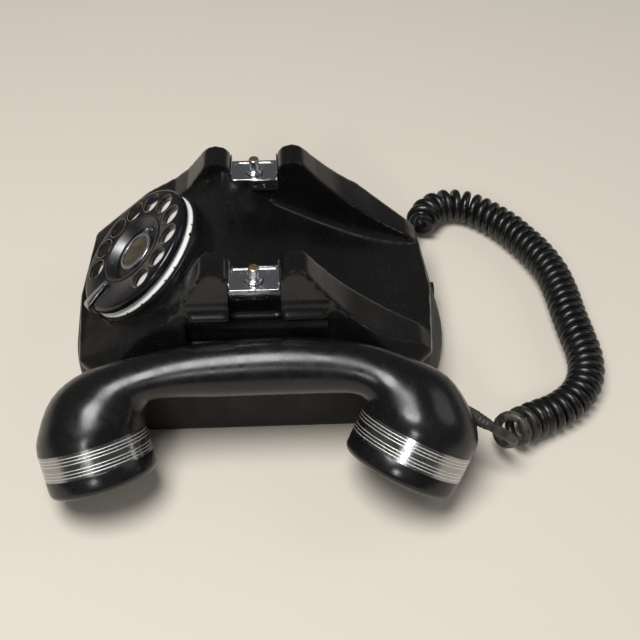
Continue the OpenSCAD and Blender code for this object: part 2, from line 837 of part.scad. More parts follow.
module ringer_coils() {
    color([0.45, 0.2, 0.1]) mirror_x() translate([coil_x, 0, coil_z]) rotate([-90, 0, 0]) {
        rod(coil_r - 0.8, coil_front, coil_rear);
        rod(coil_r, coil_front - 1, coil_front);
        rod(coil_r, coil_rear, coil_rear + 1);
    }
    color([0.5, 0.5, 0.5]) mirror_x()
        block([coil_x - 3, coil_rear + 1, plate_top + ringer_t], [coil_x + 3, coil_rear + 3, coil_z + 4]);
}

module gong() {
    color([0.72, 0.58, 0.3]) translate([gong_x, gong_y, gong_low]) rotate_extrude() polygon(concat(
        [for (i = [0 : 8]) let (a = 90 * i / 8) [1.5 + (gong_r - 1.5) * sin(a), gong_h * cos(a)]],
        [for (i = [8 : -1 : 0]) let (a = 90 * i / 8)
            [1.5 + (gong_r - 1.5 - gong_t) * sin(a), (gong_h - gong_t) * cos(a)]]));
}

module gong_screws() {
    top = gong_low + gong_h;
    color([0.5, 0.5, 0.5]) mirror_x() translate([gong_x, gong_y, 0]) difference() {
        union() {
            rod(1.5, gong_low + 1, top);
            rod(3.2, top, top + 1.8);
        }
        translate([0, 0, top + 1.6]) cube([8, 0.8, 0.8], center = true);
    }
}

module clapper() {
    color([0.6, 0.6, 0.6]) {
        translate([0, pivot_y, 0]) tube(3, 1.2 + run_gap, pivot_z - 4.3, pivot_z + 2);
        block([-0.8, pivot_y + 2.4, pivot_z - 0.8], [0.8, gong_y - 2, pivot_z + 0.8]);
        translate([0, gong_y, pivot_z]) sphere(r = ball_r);
        block([-2, armature[0], pivot_z - 4.3], [2, pivot_y - 2.4, pivot_z - 2]);
        block([-armature_half[0], armature[0], coil_z - armature_half[1]],
            [armature_half[0], armature[1], coil_z + armature_half[1]]);
        block([-2, armature[0], coil_z], [2, armature[1], pivot_z - 2]);
    }
}

// ---------------------------------------------------------------- electric parts

can_from = [-50, -50];
can_size = [28, 42, 20];
can_tag = [14, 10];
can_tag_r = 2.5;
can_tag_h = 5;

module capacitor() {
    color([0.5, 0.5, 0.52]) translate([can_from[0], can_from[1], plate_top]) {
        cube(can_size);
        for (y = [can_tag[1], can_size[1] - can_tag[1]]) translate([can_tag[0], y, 0])
            rod(can_tag_r, can_size[2], can_size[2] + can_tag_h);
    }
}

induction_from = [18, -54];
induction_size = [24, 44, 24];
induction_r = 10;
cheek_t = 2;

module induction_coil() {
    color([0.4, 0.28, 0.12]) translate([induction_from[0], induction_from[1], plate_top]) {
        for (y = [0, induction_size[1] - cheek_t]) translate([0, y, 0])
            cube([induction_size[0], cheek_t, induction_size[2]]);
        translate([induction_size[0] / 2, 0, induction_size[2] / 2]) rotate([-90, 0, 0])
            rod(induction_r, cheek_t, induction_size[1] - cheek_t);
    }
}

terminal_y = -85;
terminal_size = [48, 14, 9];
terminal_pitch = 9;
terminal_r = 1.4;
terminal_head = [3, 2];

module terminal_places() {
    for (i = [-2 : 2]) translate([i * terminal_pitch, terminal_y, plate_top]) children();
}

module terminal_block() {
    color([0.15, 0.1, 0.08]) difference() {
        translate([-terminal_size[0] / 2, terminal_y - terminal_size[1] / 2, plate_top]) cube(terminal_size);
        terminal_places() rod(terminal_r, 2, far);
    }
}

module terminal_screws() {
    color([0.75, 0.62, 0.3]) terminal_places() {
        rod(terminal_r, 3, terminal_size[2]);
        rod(terminal_head[0], terminal_size[2], terminal_size[2] + terminal_head[1]);
    }
}

// ---------------------------------------------------------------- handset

module at_handset() {
    translate([handset_x, 0, 0]) rotate([0, 0, turn]) rotate([0, -lean, 0]) children();
}

module at_receiver() {
    at_handset() in_receiver() children();
}

module at_transmitter() {
    at_handset() in_transmitter() children();
}

module in_receiver() {
    translate([0, receiver_y, head_up(receiver_tilt, receiver_r)]) rotate([receiver_tilt, 0, 0]) children();
}

module in_transmitter() {
    translate([0, transmitter_y, head_up(transmitter_tilt, transmitter_r)])
        rotate([-transmitter_tilt, 0, 0]) children();
}

// a point on the smooth curve through points b and c, with neighbours a and d
function smooth(a, b, c, d, t) =
    0.5 * (2 * b + (c - a) * t + (2 * a - 5 * b + 4 * c - d) * t * t + (3 * b - a - 3 * c + d) * t * t * t);

function refine(p, steps) = let (n = len(p) - 1) concat(
    [for (i = [0 : n - 1]) for (k = [0 : steps - 1])
        smooth(p[max(i - 1, 0)], p[i], p[i + 1], p[min(i + 2, n)], k / steps)],
    [p[n]]);

// joins rings of points, each of the same number, into one closed skin
module skin(points, sides) {
    rings = len(points) / sides;
    between = [for (i = [0 : rings - 2]) for (k = [0 : sides - 1]) let (
        a = i * sides + k,
        b = i * sides + (k + 1) % sides
    ) each [[a, b, b + sides], [a, b + sides, a + sides]]];
    ends = [[for (k = [sides - 1 : -1 : 0]) k], [for (k = [0 : sides - 1]) (rings - 1) * sides + k]];
    polyhedron(points = points, faces = concat(between, ends), convexity = 10);
}

// where a head's shell meets its band: its outer and inner points and its half width
function head_ring(y, up, tilt, r) = let (
    mid = [y + band_h * sin(tilt), up + band_h * cos(tilt)],
    reach = r * [cos(tilt), -sin(tilt)]
) y > 0 ? concat(mid + reach, mid - reach, r) : concat(mid - reach, mid + reach, r);

shell_rings = concat(
    [head_ring(receiver_y, head_up(receiver_tilt, receiver_r), -receiver_tilt, receiver_r)],
    handle_rings,
    [head_ring(transmitter_y, head_up(transmitter_tilt, transmitter_r), transmitter_tilt, transmitter_r)]);

module handset_solid() {
    skin([for (ring = refine(shell_rings, shell_steps)) let (
        outer = [ring[0], ring[1]],
        inner = [ring[2], ring[3]]
    ) for (k = [0 : shell_sides - 1]) let (
        a = 360 * k / shell_sides,
        p = (outer + inner) / 2 + (outer - inner) / 2 * cos(a)
    ) [ring[4] * sin(a), p[0], p[1]]], shell_sides);
}

module handset_body() {
    color([0.04, 0.04, 0.045]) at_handset() difference() {
        handset_solid();
        in_receiver() rod(receiver_r - 7, 0, band_h + 14);
        in_transmitter() rod(transmitter_r - 7, 0, band_h + 12);
        in_relief() rod(relief_r + run_gap, 0, far);
    }
}

// a screwed-on cap: hollow, with a rounded rim and sound holes through its face
module cap(r, rings) {
    arc = [for (i = [0 : 6]) let (a = 90 * i / 6)
        [r - rim_round + rim_round * sin(a), -cap_h + rim_round - rim_round * cos(a)]];
    color([0.03, 0.03, 0.035]) difference() {
        rotate_extrude() polygon(concat(
            [[0, -cap_h]], arc,
            [[r, 0], [r - 1.4, 0], [r - 1.4, band_h], [r - cap_wall - 1.4, band_h],
             [r - cap_wall - 1.4, -cap_h + cap_wall], [0, -cap_h + cap_wall]]));
        for (ring = rings) for (i = [0 : ring[1] - 1]) rotate(i * 360 / ring[1])
            translate([ring[0], 0, 0]) rod(1.3, -cap_h - 1, -cap_h + cap_wall + 1);
    }
}

module receiver_cap() {
    at_receiver() cap(receiver_r, [[0, 1], [5, 6]]);
}

module transmitter_cap() {
    at_transmitter() cap(transmitter_r, [[0, 1], [6, 6], [12, 12]]);
}

groove_d = 0.35;
groove_w = 0.5;
groove_pitch = 1.5;
groove_edge = 1.4;

// a chrome band with two groups of three fine grooves
module band(r) {
    group_h = 2 * groove_pitch + groove_w;
    at = [for (z = [groove_edge, band_h - groove_edge - group_h]) for (i = [0 : 2]) z + i * groove_pitch];
    outer = [for (z = at) each [[r, z], [r - groove_d, z], [r - groove_d, z + groove_w], [r, z + groove_w]]];
    color([0.8, 0.8, 0.82]) rotate_extrude() polygon(concat(
        [[r - 1.4, 0], [r, 0]], outer, [[r, band_h], [r - 1.4, band_h]]));
}

module receiver_band() {
    at_receiver() band(receiver_r);
}

module transmitter_band() {
    at_transmitter() band(transmitter_r);
}

module capsule(r) {
    color([0.6, 0.6, 0.6]) {
        rod(r - 6, -cap_h + cap_wall, -cap_h + cap_wall + capsule_h);
        rod(r - 12, -cap_h + cap_wall + capsule_h, -cap_h + cap_wall + capsule_h + 3);
    }
}

module receiver_capsule() {
    at_receiver() capsule(receiver_r);
}

module transmitter_capsule() {
    at_transmitter() capsule(transmitter_r);
}

module in_relief() {
    translate([0, relief_from[0], relief_from[1]]) rotate([relief_angle - 90, 0, 0]) children();
}

module strain_relief() {
    color([0.05, 0.05, 0.05]) at_handset() in_relief() rotate_extrude() polygon([
        [0, 0], [relief_r, 0], [relief_r, relief_len * 0.5], [relief_r - 1.4, relief_len], [0, relief_len]
    ]);
}

// ---------------------------------------------------------------- cord

function unit(v) = v / norm(v);

function tangent(p, i) = unit(p[min(i + 1, len(p) - 1)] - p[max(i - 1, 0)]);

// a round tube swept along points, one ring at each
module sweep(points, r, sides) {
    n = len(points);
    rings = [for (i = [0 : n - 1]) let (
        t = tangent(points, i),
        across = unit(cross(t, [0, 0, 1])),
        up = cross(across, t)
    ) for (k = [0 : sides - 1]) let (a = 360 * (k + 0.5) / sides)
        points[i] + r * (cos(a) * across + sin(a) * up)];
    skin(rings, sides);
}

// a place in the handset's plane, turned into the part's own frame
function handset_point(y, z) = [
    handset_x - z * sin(lean) * cos(turn) - y * sin(turn),
    y * cos(turn) - z * sin(lean) * sin(turn),
    z * cos(lean)
];

gland_dir = [cos(gland_angle), sin(gland_angle), 0];
gland_end = gland_at + gland_dir * gland_high;
coil_points = refine(coil_route, coil_steps);
coil_dir = tangent(coil_points, 0);
coil_end_dir = tangent(coil_points, len(coil_points) - 1);
coil_end = coil_route[len(coil_route) - 1];
relief_end = handset_point(relief_to[0], relief_to[1]);
relief_dir = unit(relief_end - handset_point(relief_from[0], relief_from[1]));

// a lead that leaves one place and meets another squarely, in a smooth bend between
function lead_path(from, from_dir, to, to_dir) = let (
    a = from + from_dir * (lead_gap + lead_straight),
    b = to + to_dir * (lead_gap + lead_straight)
) concat(
    [from + from_dir * lead_gap],
    [for (i = [0 : lead_steps]) let (t = i / lead_steps, u = 1 - t)
        u * u * u * a + 3 * u * u * t * (a + from_dir * lead_bend)
            + 3 * u * t * t * (b + to_dir * lead_bend) + t * t * t * b],
    [to + to_dir * lead_gap]);

module cord_lead_phone() {
    color([0.04, 0.04, 0.04])
        sweep(lead_path(gland_end, gland_dir, coil_route[0], -coil_dir), cord_d / 2, lead_sides);
}

module cord_coil() {
    color([0.04, 0.04, 0.04]) sweep(coil_points, coil_d / 2, coil_sides);
}

module cord_lead_handset() {
    color([0.04, 0.04, 0.04])
        sweep(lead_path(coil_end, coil_end_dir, relief_end, relief_dir), cord_d / 2, lead_sides);
}

// ---------------------------------------------------------------- nodes

housing();
base_plate();
base_pad();
housing_screws();
cord_gland();
line_inlet();
mirror([1, 0, 0]) guard();  // guard_left
guard();  // guard_right
mirror([1, 0, 0]) collar();  // collar_left
collar();  // collar_right
mirror([1, 0, 0]) plunger();  // plunger_left
plunger();  // plunger_right
hook_frame();
hook_axle();
hook_yoke();
contact_pile();
dial_case();
dial_screws();
number_plate();
finger_stop();
finger_wheel();
center_ring();
number_card();
card_window();
card_clip();
dial_shaft();
main_gear();
pulse_cam();
dial_frame();
dial_spring();
pinion();
governor();
pulse_springs();
ringer_frame();
ringer_coils();
mirror([1, 0, 0]) gong();  // gong_left
gong();  // gong_right
gong_screws();
clapper();
capacitor();
induction_coil();
terminal_block();
terminal_screws();
handset_body();
receiver_cap();
transmitter_cap();
receiver_band();
transmitter_band();
receiver_capsule();
transmitter_capsule();
strain_relief();
cord_lead_phone();
cord_coil();
cord_lead_handset();
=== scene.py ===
from math import atan, atan2, cos, hypot, pi, radians, sin, sqrt, tan

import bmesh
import bpy
from bpy.props import FloatProperty, FloatVectorProperty, IntProperty, PointerProperty
from mathutils import Matrix, Vector, noise


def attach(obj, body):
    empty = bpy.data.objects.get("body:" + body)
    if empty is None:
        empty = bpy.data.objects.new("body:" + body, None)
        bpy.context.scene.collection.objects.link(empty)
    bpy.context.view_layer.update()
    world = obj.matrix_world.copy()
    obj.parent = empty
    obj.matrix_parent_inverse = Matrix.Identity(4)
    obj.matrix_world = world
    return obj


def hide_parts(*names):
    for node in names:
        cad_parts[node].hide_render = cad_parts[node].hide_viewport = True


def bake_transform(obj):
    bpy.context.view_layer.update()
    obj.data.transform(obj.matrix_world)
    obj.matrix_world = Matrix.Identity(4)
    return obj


bl_info = {
    "name": "Rotary Dial Telephone",
    "version": (1, 0, 0),
    "blender": (4, 5, 0),
    "location": "View3D > Sidebar > Telephone",
    "description": "Builds a moulded desk telephone with its dial, cradle, handset and coiled cord",
    "category": "Add Mesh",
}

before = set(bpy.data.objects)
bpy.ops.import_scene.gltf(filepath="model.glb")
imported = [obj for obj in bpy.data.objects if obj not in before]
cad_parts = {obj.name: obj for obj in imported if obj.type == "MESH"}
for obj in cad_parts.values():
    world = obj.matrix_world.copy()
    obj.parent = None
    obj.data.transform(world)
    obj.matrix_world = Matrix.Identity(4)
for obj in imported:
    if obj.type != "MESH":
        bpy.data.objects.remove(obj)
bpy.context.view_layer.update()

MM = 0.001

# ---------------------------------------------------------------- sizes of the frame, in millimetres

BASE_HALF_L = 113.0
SHELL_Z = 4.4
SKIRT_Z = 44.5
BASE_CORNER = (26.5, 62.0, 44.0)
BASE_END = (15.34, 97.66)
SKIRT_HALF = [(0, -105.6), (52.3, -101.4), (68, -86.9), (68, 84.1), (52.3, 98.6), (0, 102.8)]
DIAL_SLOPE = radians(36.2)
DIAL_Y = -63.2
DIAL_TIP = radians(4.4)
DIAL_RISE = 2.1
DIAL_BOSS = 42.1
WHEEL_LOW = 7.2
WHEEL_TOP = 9.7
DISH_R = 21.9
DISH_FLOOR_R = 17.8
DISH_FLOOR = WHEEL_TOP - 4.3
CARD_R = 11.0
CLIP_R = 12.4
TONGUE_TURN = radians(150)
CLIP_TOP = DISH_FLOOR + 1.2
FRONT_Y = -101.4
REAR_Y = 98.6
EAR_TOP = 112.0
EAR_R = 8.5
EAR_Y = 22.3
FIN_IN = 36.0
FIN_OUT = 52.3
NOTCH_Z = 98.5
GRIP_X = 54.5
TRAY_OUT = 53.3
LUG_SPANS = ((13.6, 39.6), (-37.2, -12.4))
PLUNGER_X = 44.6
BUSH_R = 4.05
SCREW_X = 60
SCREW_Y = 55
SCREW_R = 1.95
CASE_HOLE_R = 37.2
HOLLOW = (9.5, 66.2, 92.5)
HOLLOW_EXTRA = 1.5
RECESS_LOW = 80
GRIP_LOW = (-38, 61)
GRIP_HIGH = (40, 81)
FAR_X = 90
FIN_FOOT = (50.2, -41.5, 56.5, 43.5)
BOSS_R = 5.5
DIGIT_FLOOR = 5.22
STOP_REST = WHEEL_TOP + 1.4
STOP_LEG = 43.1
STOP_HALF_W = 4.0
STOP_THICK = 1.05
GRID_DEPTH = 8
WALL = 3.5
FAR = 150
CREST_Y = -17.3
REAR_SLOPE = [(-12, 100), (4, 86.5), (23, 74.5), (42, 64), (62, 54.5), (84, 47.5), (REAR_Y, SKIRT_Z)]
FIN_SLOPE = [(36.5, 99), (43, 91.5), (50, 84), (59, 76), (76, 62.2), (92, 51.3), (REAR_Y, SKIRT_Z)]

LEAN = radians(42)
TURN = radians(-1.6)
BAND_H = 14.0
CAP_H = 11.0
RIM_ROUND = 4.0
RECEIVER = (-87.5, radians(15.5), 30.0)
TRANSMITTER = (78.7, radians(-26.0), 32.2)
HANDLE_MID = 89.5
HANDLE_HALF = (15.5, 14.0)
RELIEF = ((107.0, 65.6), (124.0, 55.8))
RELIEF_R = 4.4

COIL_PHASE = 0.25
TURN_POINTS = 20
LOOSE_ENDS = ((0.38, 75), (1.5, 30))
PERISHED = (0.098, 0.131, 0.022)
GLAND = Vector((-62, 91, 17))
GLAND_TURN = radians(134)
GLAND_END = 9.0
GLAND_R = 5.5
INLET_R = 6.0
COIL_ROUTE = [
    (-85, 108, 14), (-97, 113, 12), (-104, 121, 11.8), (-106, 131, 11.8), (-103.8, 141.5, 11.8),
    (-96, 153, 11.8), (-83.5, 165.5, 11.8), (-69.5, 175, 11.8), (-55, 183, 11.8), (-39, 189, 11.8),
    (-20, 192, 11.8), (-2, 193.2, 11.8), (15.5, 195, 11.8), (31, 196.3, 11.8), (44.5, 195, 11.8),
    (56, 190.5, 11.8), (65, 183.5, 11.8), (71.5, 175, 11.8), (75.8, 166.5, 11.8), (79.5, 158, 12.5),
    (86.4, 147.2, 15.5), (94.9, 136.7, 21),
]


def at(x, y, z):
    return Matrix.Translation((x, y, z))


def slope_z(y):
    return SKIRT_Z + (y - FRONT_Y) * tan(DIAL_SLOPE)


def head_up(tilt, r):
    drop = sqrt(1 - (cos(tilt) * cos(LEAN)) ** 2)
    return ((r - RIM_ROUND) * drop + RIM_ROUND + 0.1) / cos(LEAN) + (CAP_H - RIM_ROUND) * cos(tilt)


def handset_x():
    rise = atan((68 - FIN_OUT) / (EAR_TOP + 1 - SKIRT_Z))
    reach = 0.35 + hypot(HANDLE_HALF[0] * sin(LEAN - rise), HANDLE_HALF[1] * cos(LEAN - rise))
    up = HANDLE_MID * cos(LEAN) - SKIRT_Z
    return 68 + (reach - up * sin(rise)) / cos(rise) + HANDLE_MID * sin(LEAN)


AT_DIAL = (at(0, DIAL_Y, slope_z(DIAL_Y)) @ Matrix.Rotation(DIAL_SLOPE + DIAL_TIP, 4, "X")
           @ at(0, 0, DIAL_RISE))
AT_HANDSET = at(handset_x(), 0, 0) @ Matrix.Rotation(TURN, 4, "Z") @ Matrix.Rotation(-LEAN, 4, "Y")
AT_GLAND = Matrix.Translation(GLAND) @ Matrix.Rotation(GLAND_TURN, 4, "Z") @ Matrix.Rotation(pi / 2, 4, "Y")
AT_INLET = at(-20, 104.5, 17) @ Matrix.Rotation(-pi / 2, 4, "X")


def head_place(head):
    y, tilt, r = head
    return AT_HANDSET @ at(0, y, head_up(tilt, r)) @ Matrix.Rotation(tilt, 4, "X")


def relief_place():
    (y0, z0), (y1, z1) = RELIEF
    return AT_HANDSET @ at(0, y0, z0) @ Matrix.Rotation(atan2(z1 - z0, y1 - y0) - pi / 2, 4, "X")


# ---------------------------------------------------------------- modelling helpers

def smooth_curve(points, steps):
    """Points along the smooth curve through the given ones."""
    p = [Vector(q) for q in points]
    out = []
    for i in range(len(p) - 1):
        a, b, c, d = p[max(i - 1, 0)], p[i], p[i + 1], p[min(i + 2, len(p) - 1)]
        for k in range(steps):
            t = k / steps
            out.append(0.5 * (2 * b + (c - a) * t + (2 * a - 5 * b + 4 * c - d) * t * t
                              + (3 * b - a - 3 * c + d) * t ** 3))
    return out + [p[-1]]


def tidy(bm, dist=0.002):
    bmesh.ops.remove_doubles(bm, verts=bm.verts, dist=dist)
    bmesh.ops.dissolve_degenerate(bm, edges=bm.edges, dist=dist / 2)
    bmesh.ops.recalc_face_normals(bm, faces=bm.faces)


def lathe(profile, closed=True, steps=96):
    """Spins a profile of (radius, height) points about Z."""
    bm = bmesh.new()
    verts = [bm.verts.new((r, 0, z)) for r, z in profile]
    pairs = list(zip(verts, verts[1:])) + ([(verts[-1], verts[0])] if closed else [])
    edges = [bm.edges.new(pair) for pair in pairs]
    bmesh.ops.spin(bm, geom=verts + edges, cent=(0, 0, 0), axis=(0, 0, 1), angle=2 * pi,
                   steps=steps, use_merge=True)
    tidy(bm)
    return bm


def rounded(points, radius, steps=4):
    """A closed outline of (u, v) points with its corners rounded; a corner may give its own radius."""
    out = []
    n = len(points)
    for i, point in enumerate(points):
        p = Vector(point[:2])
        r = point[2] if len(point) > 2 else radius
        before, after = Vector(points[i - 1][:2]) - p, Vector(points[(i + 1) % n][:2]) - p
        cut = min(r, before.length * 0.45, after.length * 0.45)
        if cut < 0.02:
            out.append(tuple(p))
            continue
        a, b = p + before.normalized() * cut, p + after.normalized() * cut
        for k in range(steps + 1):
            t = k / steps
            out.append(tuple(a * (1 - t) ** 2 + p * 2 * t * (1 - t) + b * t * t))
    return out


def drawn(points, along):
    """A closed solid drawn out along a vector from a flat outline."""
    bm = bmesh.new()
    face = bm.faces.new([bm.verts.new(p) for p in points])
    out = bmesh.ops.extrude_face_region(bm, geom=[face])
    moved = [v for v in out["geom"] if isinstance(v, bmesh.types.BMVert)]
    bmesh.ops.translate(bm, verts=moved, vec=along)
    bmesh.ops.recalc_face_normals(bm, faces=bm.faces)
    return bm


def prism(outline, low, high):
    """A closed solid drawn out along X from an outline of (y, z) points."""
    return drawn([(low, y, z) for y, z in outline], (high - low, 0, 0))


def plate(outline, low, high):
    """A flat piece drawn up along Z from an outline of (x, y) points."""
    return drawn([(x, y, low) for x, y in outline], (0, 0, high - low))


def block(low, high):
    bm = bmesh.new()
    size = Vector(high) - Vector(low)
    place = Matrix.Translation((Vector(low) + Vector(high)) / 2) @ Matrix.Diagonal((*size, 1))
    bmesh.ops.create_cube(bm, size=1, matrix=place)
    return bm


def rod(r, low, high, place=Matrix(), sides=48):
    bm = bmesh.new()
    bmesh.ops.create_cone(bm, cap_ends=True, segments=sides, radius1=r, radius2=r, depth=high - low,
                          matrix=place @ at(0, 0, (low + high) / 2))
    return bm


def moved(bm, matrix):
    """The bmesh at another place or mirrored, with its faces outward."""
    bmesh.ops.transform(bm, matrix=matrix, verts=bm.verts)
    bmesh.ops.recalc_face_normals(bm, faces=bm.faces)
    return bm


def add_to(bm, other):
    """Adds a copy of one bmesh to another and frees it."""
    mesh = bpy.data.meshes.new("part")
    other.to_mesh(mesh)
    other.free()
    bm.from_mesh(mesh)
    bpy.data.meshes.remove(mesh)


def hull(points):
    bm = bmesh.new()
    for p in points:
        bm.verts.new(p)
    out = bmesh.ops.convex_hull(bm, input=bm.verts)
    loose = [g for g in out["geom_interior"] + out["geom_unused"] if isinstance(g, bmesh.types.BMVert)]
    bmesh.ops.delete(bm, geom=list(set(loose)), context="VERTS")
    bmesh.ops.recalc_face_normals(bm, faces=bm.faces)
    return bm


def soften(bm, width, angle=35, segments=3, where=None):
    """Rounds the sharp edges, or those of them that a test picks."""
    edges = [e for e in bm.edges if len(e.link_faces) == 2 and e.calc_face_angle(0) > radians(angle)
             and (where is None or where((e.verts[0].co + e.verts[1].co) / 2))]
    bmesh.ops.bevel(bm, geom=edges, offset=width, offset_type="OFFSET", segments=segments, profile=0.5,
                    affect="EDGES", clamp_overlap=True, material=-1)
    return bm


def new_object(name, data):
    obj = bpy.data.objects.new(name, data)
    bpy.context.scene.collection.objects.link(obj)
    return obj


def mesh_object(bm, name):
    """A new object that holds the bmesh, which is freed."""
    mesh = bpy.data.meshes.new(name)
    bm.to_mesh(mesh)
    bm.free()
    return new_object(name, mesh)


def with_modifier(bm, kind, **settings):
    """The bmesh after one modifier is applied to it."""
    obj = mesh_object(bm, "scratch")
    modifier = obj.modifiers.new(kind, kind)
    for key, value in settings.items():
        setattr(modifier, key, value)
    graph = bpy.context.evaluated_depsgraph_get()
    out = bmesh.new()
    out.from_mesh(obj.evaluated_get(graph).to_mesh())
    discard(obj)
    return out


def discard(obj):
    mesh = obj.data
    bpy.data.objects.remove(obj)
    bpy.data.meshes.remove(mesh)


def combine(bm, other, operation):
    """Joins, cuts or intersects one closed solid with another."""
    tool = mesh_object(other, "tool")
    out = with_modifier(bm, "BOOLEAN", operation=operation, object=tool, solver="EXACT")
    discard(tool)
    return out


def cut(bm, other):
    return combine(bm, other, "DIFFERENCE")


def loft(rings, sides, closed_ends=True):
    """Bridges rings given as (place, half width, half height) of an oval in the place's XY plane."""
    bm = bmesh.new()
    before = None
    for i, (place, half_w, half_h) in enumerate(rings):
        capped = closed_ends and i in (0, len(rings) - 1)
        made = bmesh.ops.create_circle(bm, cap_ends=capped, segments=sides, radius=1,
                                       matrix=place @ Matrix.Diagonal((half_w, half_h, 1, 1)))["verts"]
        edges = [e for e in bm.edges if e.verts[0] in set(made) and e.verts[1] in set(made)]
        if before:
            bmesh.ops.bridge_loops(bm, edges=before + edges)
        before = edges
    bmesh.ops.recalc_face_normals(bm, faces=bm.faces)
    return bm


def curve_mesh(name, curve):
    """The mesh that a curve or text makes; the curve is removed."""
    shown = new_object(name, curve)
    graph = bpy.context.evaluated_depsgraph_get()
    mesh = bpy.data.meshes.new_from_object(shown.evaluated_get(graph))
    bpy.data.objects.remove(shown)
    bpy.data.curves.remove(curve)
    return mesh


def piece(name, bm, material, body, replaces=(), place=None, angle=35):
    """Finishes a bmesh in millimetres as a piece of the telephone."""
    if place is not None:
        bmesh.ops.transform(bm, matrix=place, verts=bm.verts)
    bmesh.ops.scale(bm, vec=(MM, MM, MM), verts=bm.verts)
    obj = mesh_object(bm, name)
    for each in material if isinstance(material, (list, tuple)) else [material]:
        obj.data.materials.append(each)
    obj.data.shade_smooth()
    obj.data.set_sharp_from_angle(angle=radians(angle))
    if replaces:
        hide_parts(*replaces)
    if body:
        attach(obj, body)
    return obj


def recolour(node, material):
    """Gives a node of the frame a finish."""
    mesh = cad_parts[node].data
    mesh.materials.clear()
    mesh.materials.append(material)


# ---------------------------------------------------------------- shader effects

def new_group(name, inputs, outputs):
    group = bpy.data.node_groups.new(name, "ShaderNodeTree")
    for label, value in inputs:
        socket = group.interface.new_socket(name=label, in_out="INPUT", socket_type="NodeSocketFloat")
        socket.default_value = value
    for label in outputs:
        group.interface.new_socket(name=label, in_out="OUTPUT", socket_type="NodeSocketFloat")
    return group, Tree(group)


class Tree:
    """Short ways to add nodes to a node tree and link them."""

    def __init__(self, tree):
        self.tree = tree
        self.nodes = tree.nodes
        self.links = tree.links

    def add(self, kind, values=(), **settings):
        node = self.nodes.new(kind)
        for key, value in settings.items():
            setattr(node, key, value)
        for key, value in dict(values).items():
            self.feed(node.inputs[key], value)
        return node

    def feed(self, socket, value):
        if isinstance(value, bpy.types.NodeSocket):
            self.links.new(value, socket)
        else:
            socket.default_value = value

    def place(self, scale=(1, 1, 1), shift=(0, 0, 0), turn=(0, 0, 0)):
        where = self.add("ShaderNodeTexCoord")
        mapping = self.add("ShaderNodeMapping", {"Vector": where.outputs["Object"]})
        mapping.inputs["Scale"].default_value = scale
        mapping.inputs["Location"].default_value = shift
        mapping.inputs["Rotation"].default_value = turn
        return mapping.outputs["Vector"]

    def noise(self, vector, scale, detail=4.0, roughness=0.55, distortion=0.0):
        node = self.add("ShaderNodeTexNoise", {"Vector": vector, "Scale": scale, "Detail": detail,
                                               "Roughness": roughness, "Distortion": distortion})
        return node.outputs["Fac"]

    def ramp(self, value, low, high, out_low=0.0, out_high=1.0):
        node = self.add("ShaderNodeMapRange", {"Value": value, "From Min": low, "From Max": high,
                                               "To Min": out_low, "To Max": out_high}, clamp=True)
        return node.outputs["Result"]

    def math(self, operation, a, b=0.5):
        node = self.add("ShaderNodeMath", {0: a, 1: b}, operation=operation, use_clamp=True)
        return node.outputs[0]

    def times(self, a, b):
        return self.math("MULTIPLY", a, b)

    def plus(self, a, b):
        return self.math("ADD", a, b)

    def mix(self, mask, a, b):
        node = self.add("ShaderNodeMix", {"Factor": mask}, data_type="RGBA")
        for socket, value in ((node.inputs[6], a), (node.inputs[7], b)):
            if isinstance(value, bpy.types.NodeSocket):
                self.links.new(value, socket)
            else:
                socket.default_value = (*value[:3], 1)
        return node.outputs[2]

    def group(self, group, **values):
        node = self.nodes.new("ShaderNodeGroup")
        node.node_tree = group
        for key, value in values.items():
            self.feed(node.inputs[key.replace("_", " ")], value)
        return node.outputs


def handling_group():
    """Smudges, fine scratches and settled dust on a handled surface."""
    inputs = [("Smudge Scale", 60.0), ("Scratch Scale", 900.0), ("Dust Scale", 1500.0), ("Dust Amount", 0.3)]
    group, t = new_group("Handling", inputs, ["Smudge", "Scratch", "Dust", "Height"])
    inside = t.nodes.new("NodeGroupInput").outputs
    outside = t.nodes.new("NodeGroupOutput").inputs
    where = t.place()
    smudge = t.ramp(t.noise(where, inside["Smudge Scale"], 5, 0.6, 0.4), 0.35, 0.7)
    across = t.place((1, 14, 3), turn=(0.3, 0.5, 0.7))
    along = t.place((13, 1, 4), turn=(0.8, 0.2, 0.4))
    first = t.ramp(t.noise(across, inside["Scratch Scale"], 2, 0.5), 0.66, 0.72)
    second = t.ramp(t.noise(along, inside["Scratch Scale"], 2, 0.5), 0.67, 0.73)
    patches = t.ramp(t.noise(where, 90, 3, 0.5), 0.42, 0.62)
    scratch = t.times(t.math("MAXIMUM", first, second), patches)
    cells = t.add("ShaderNodeTexVoronoi", {"Vector": where, "Scale": inside["Dust Scale"]}, feature="F1")
    specks = t.ramp(cells.outputs["Distance"], 0.06, 0.16, 1.0, 0.0)
    picked = t.ramp(t.noise(where, 700, 1, 0.5), 0.52, 0.64)
    dust = t.times(t.times(specks, picked), inside["Dust Amount"])
    height = t.math("SUBTRACT", t.times(t.noise(where, 350, 3, 0.6), 0.35),
                    t.times(scratch, 0.6))
    for label, value in (("Smudge", smudge), ("Scratch", scratch), ("Dust", dust), ("Height", height)):
        t.links.new(value, outside[label])
    return group


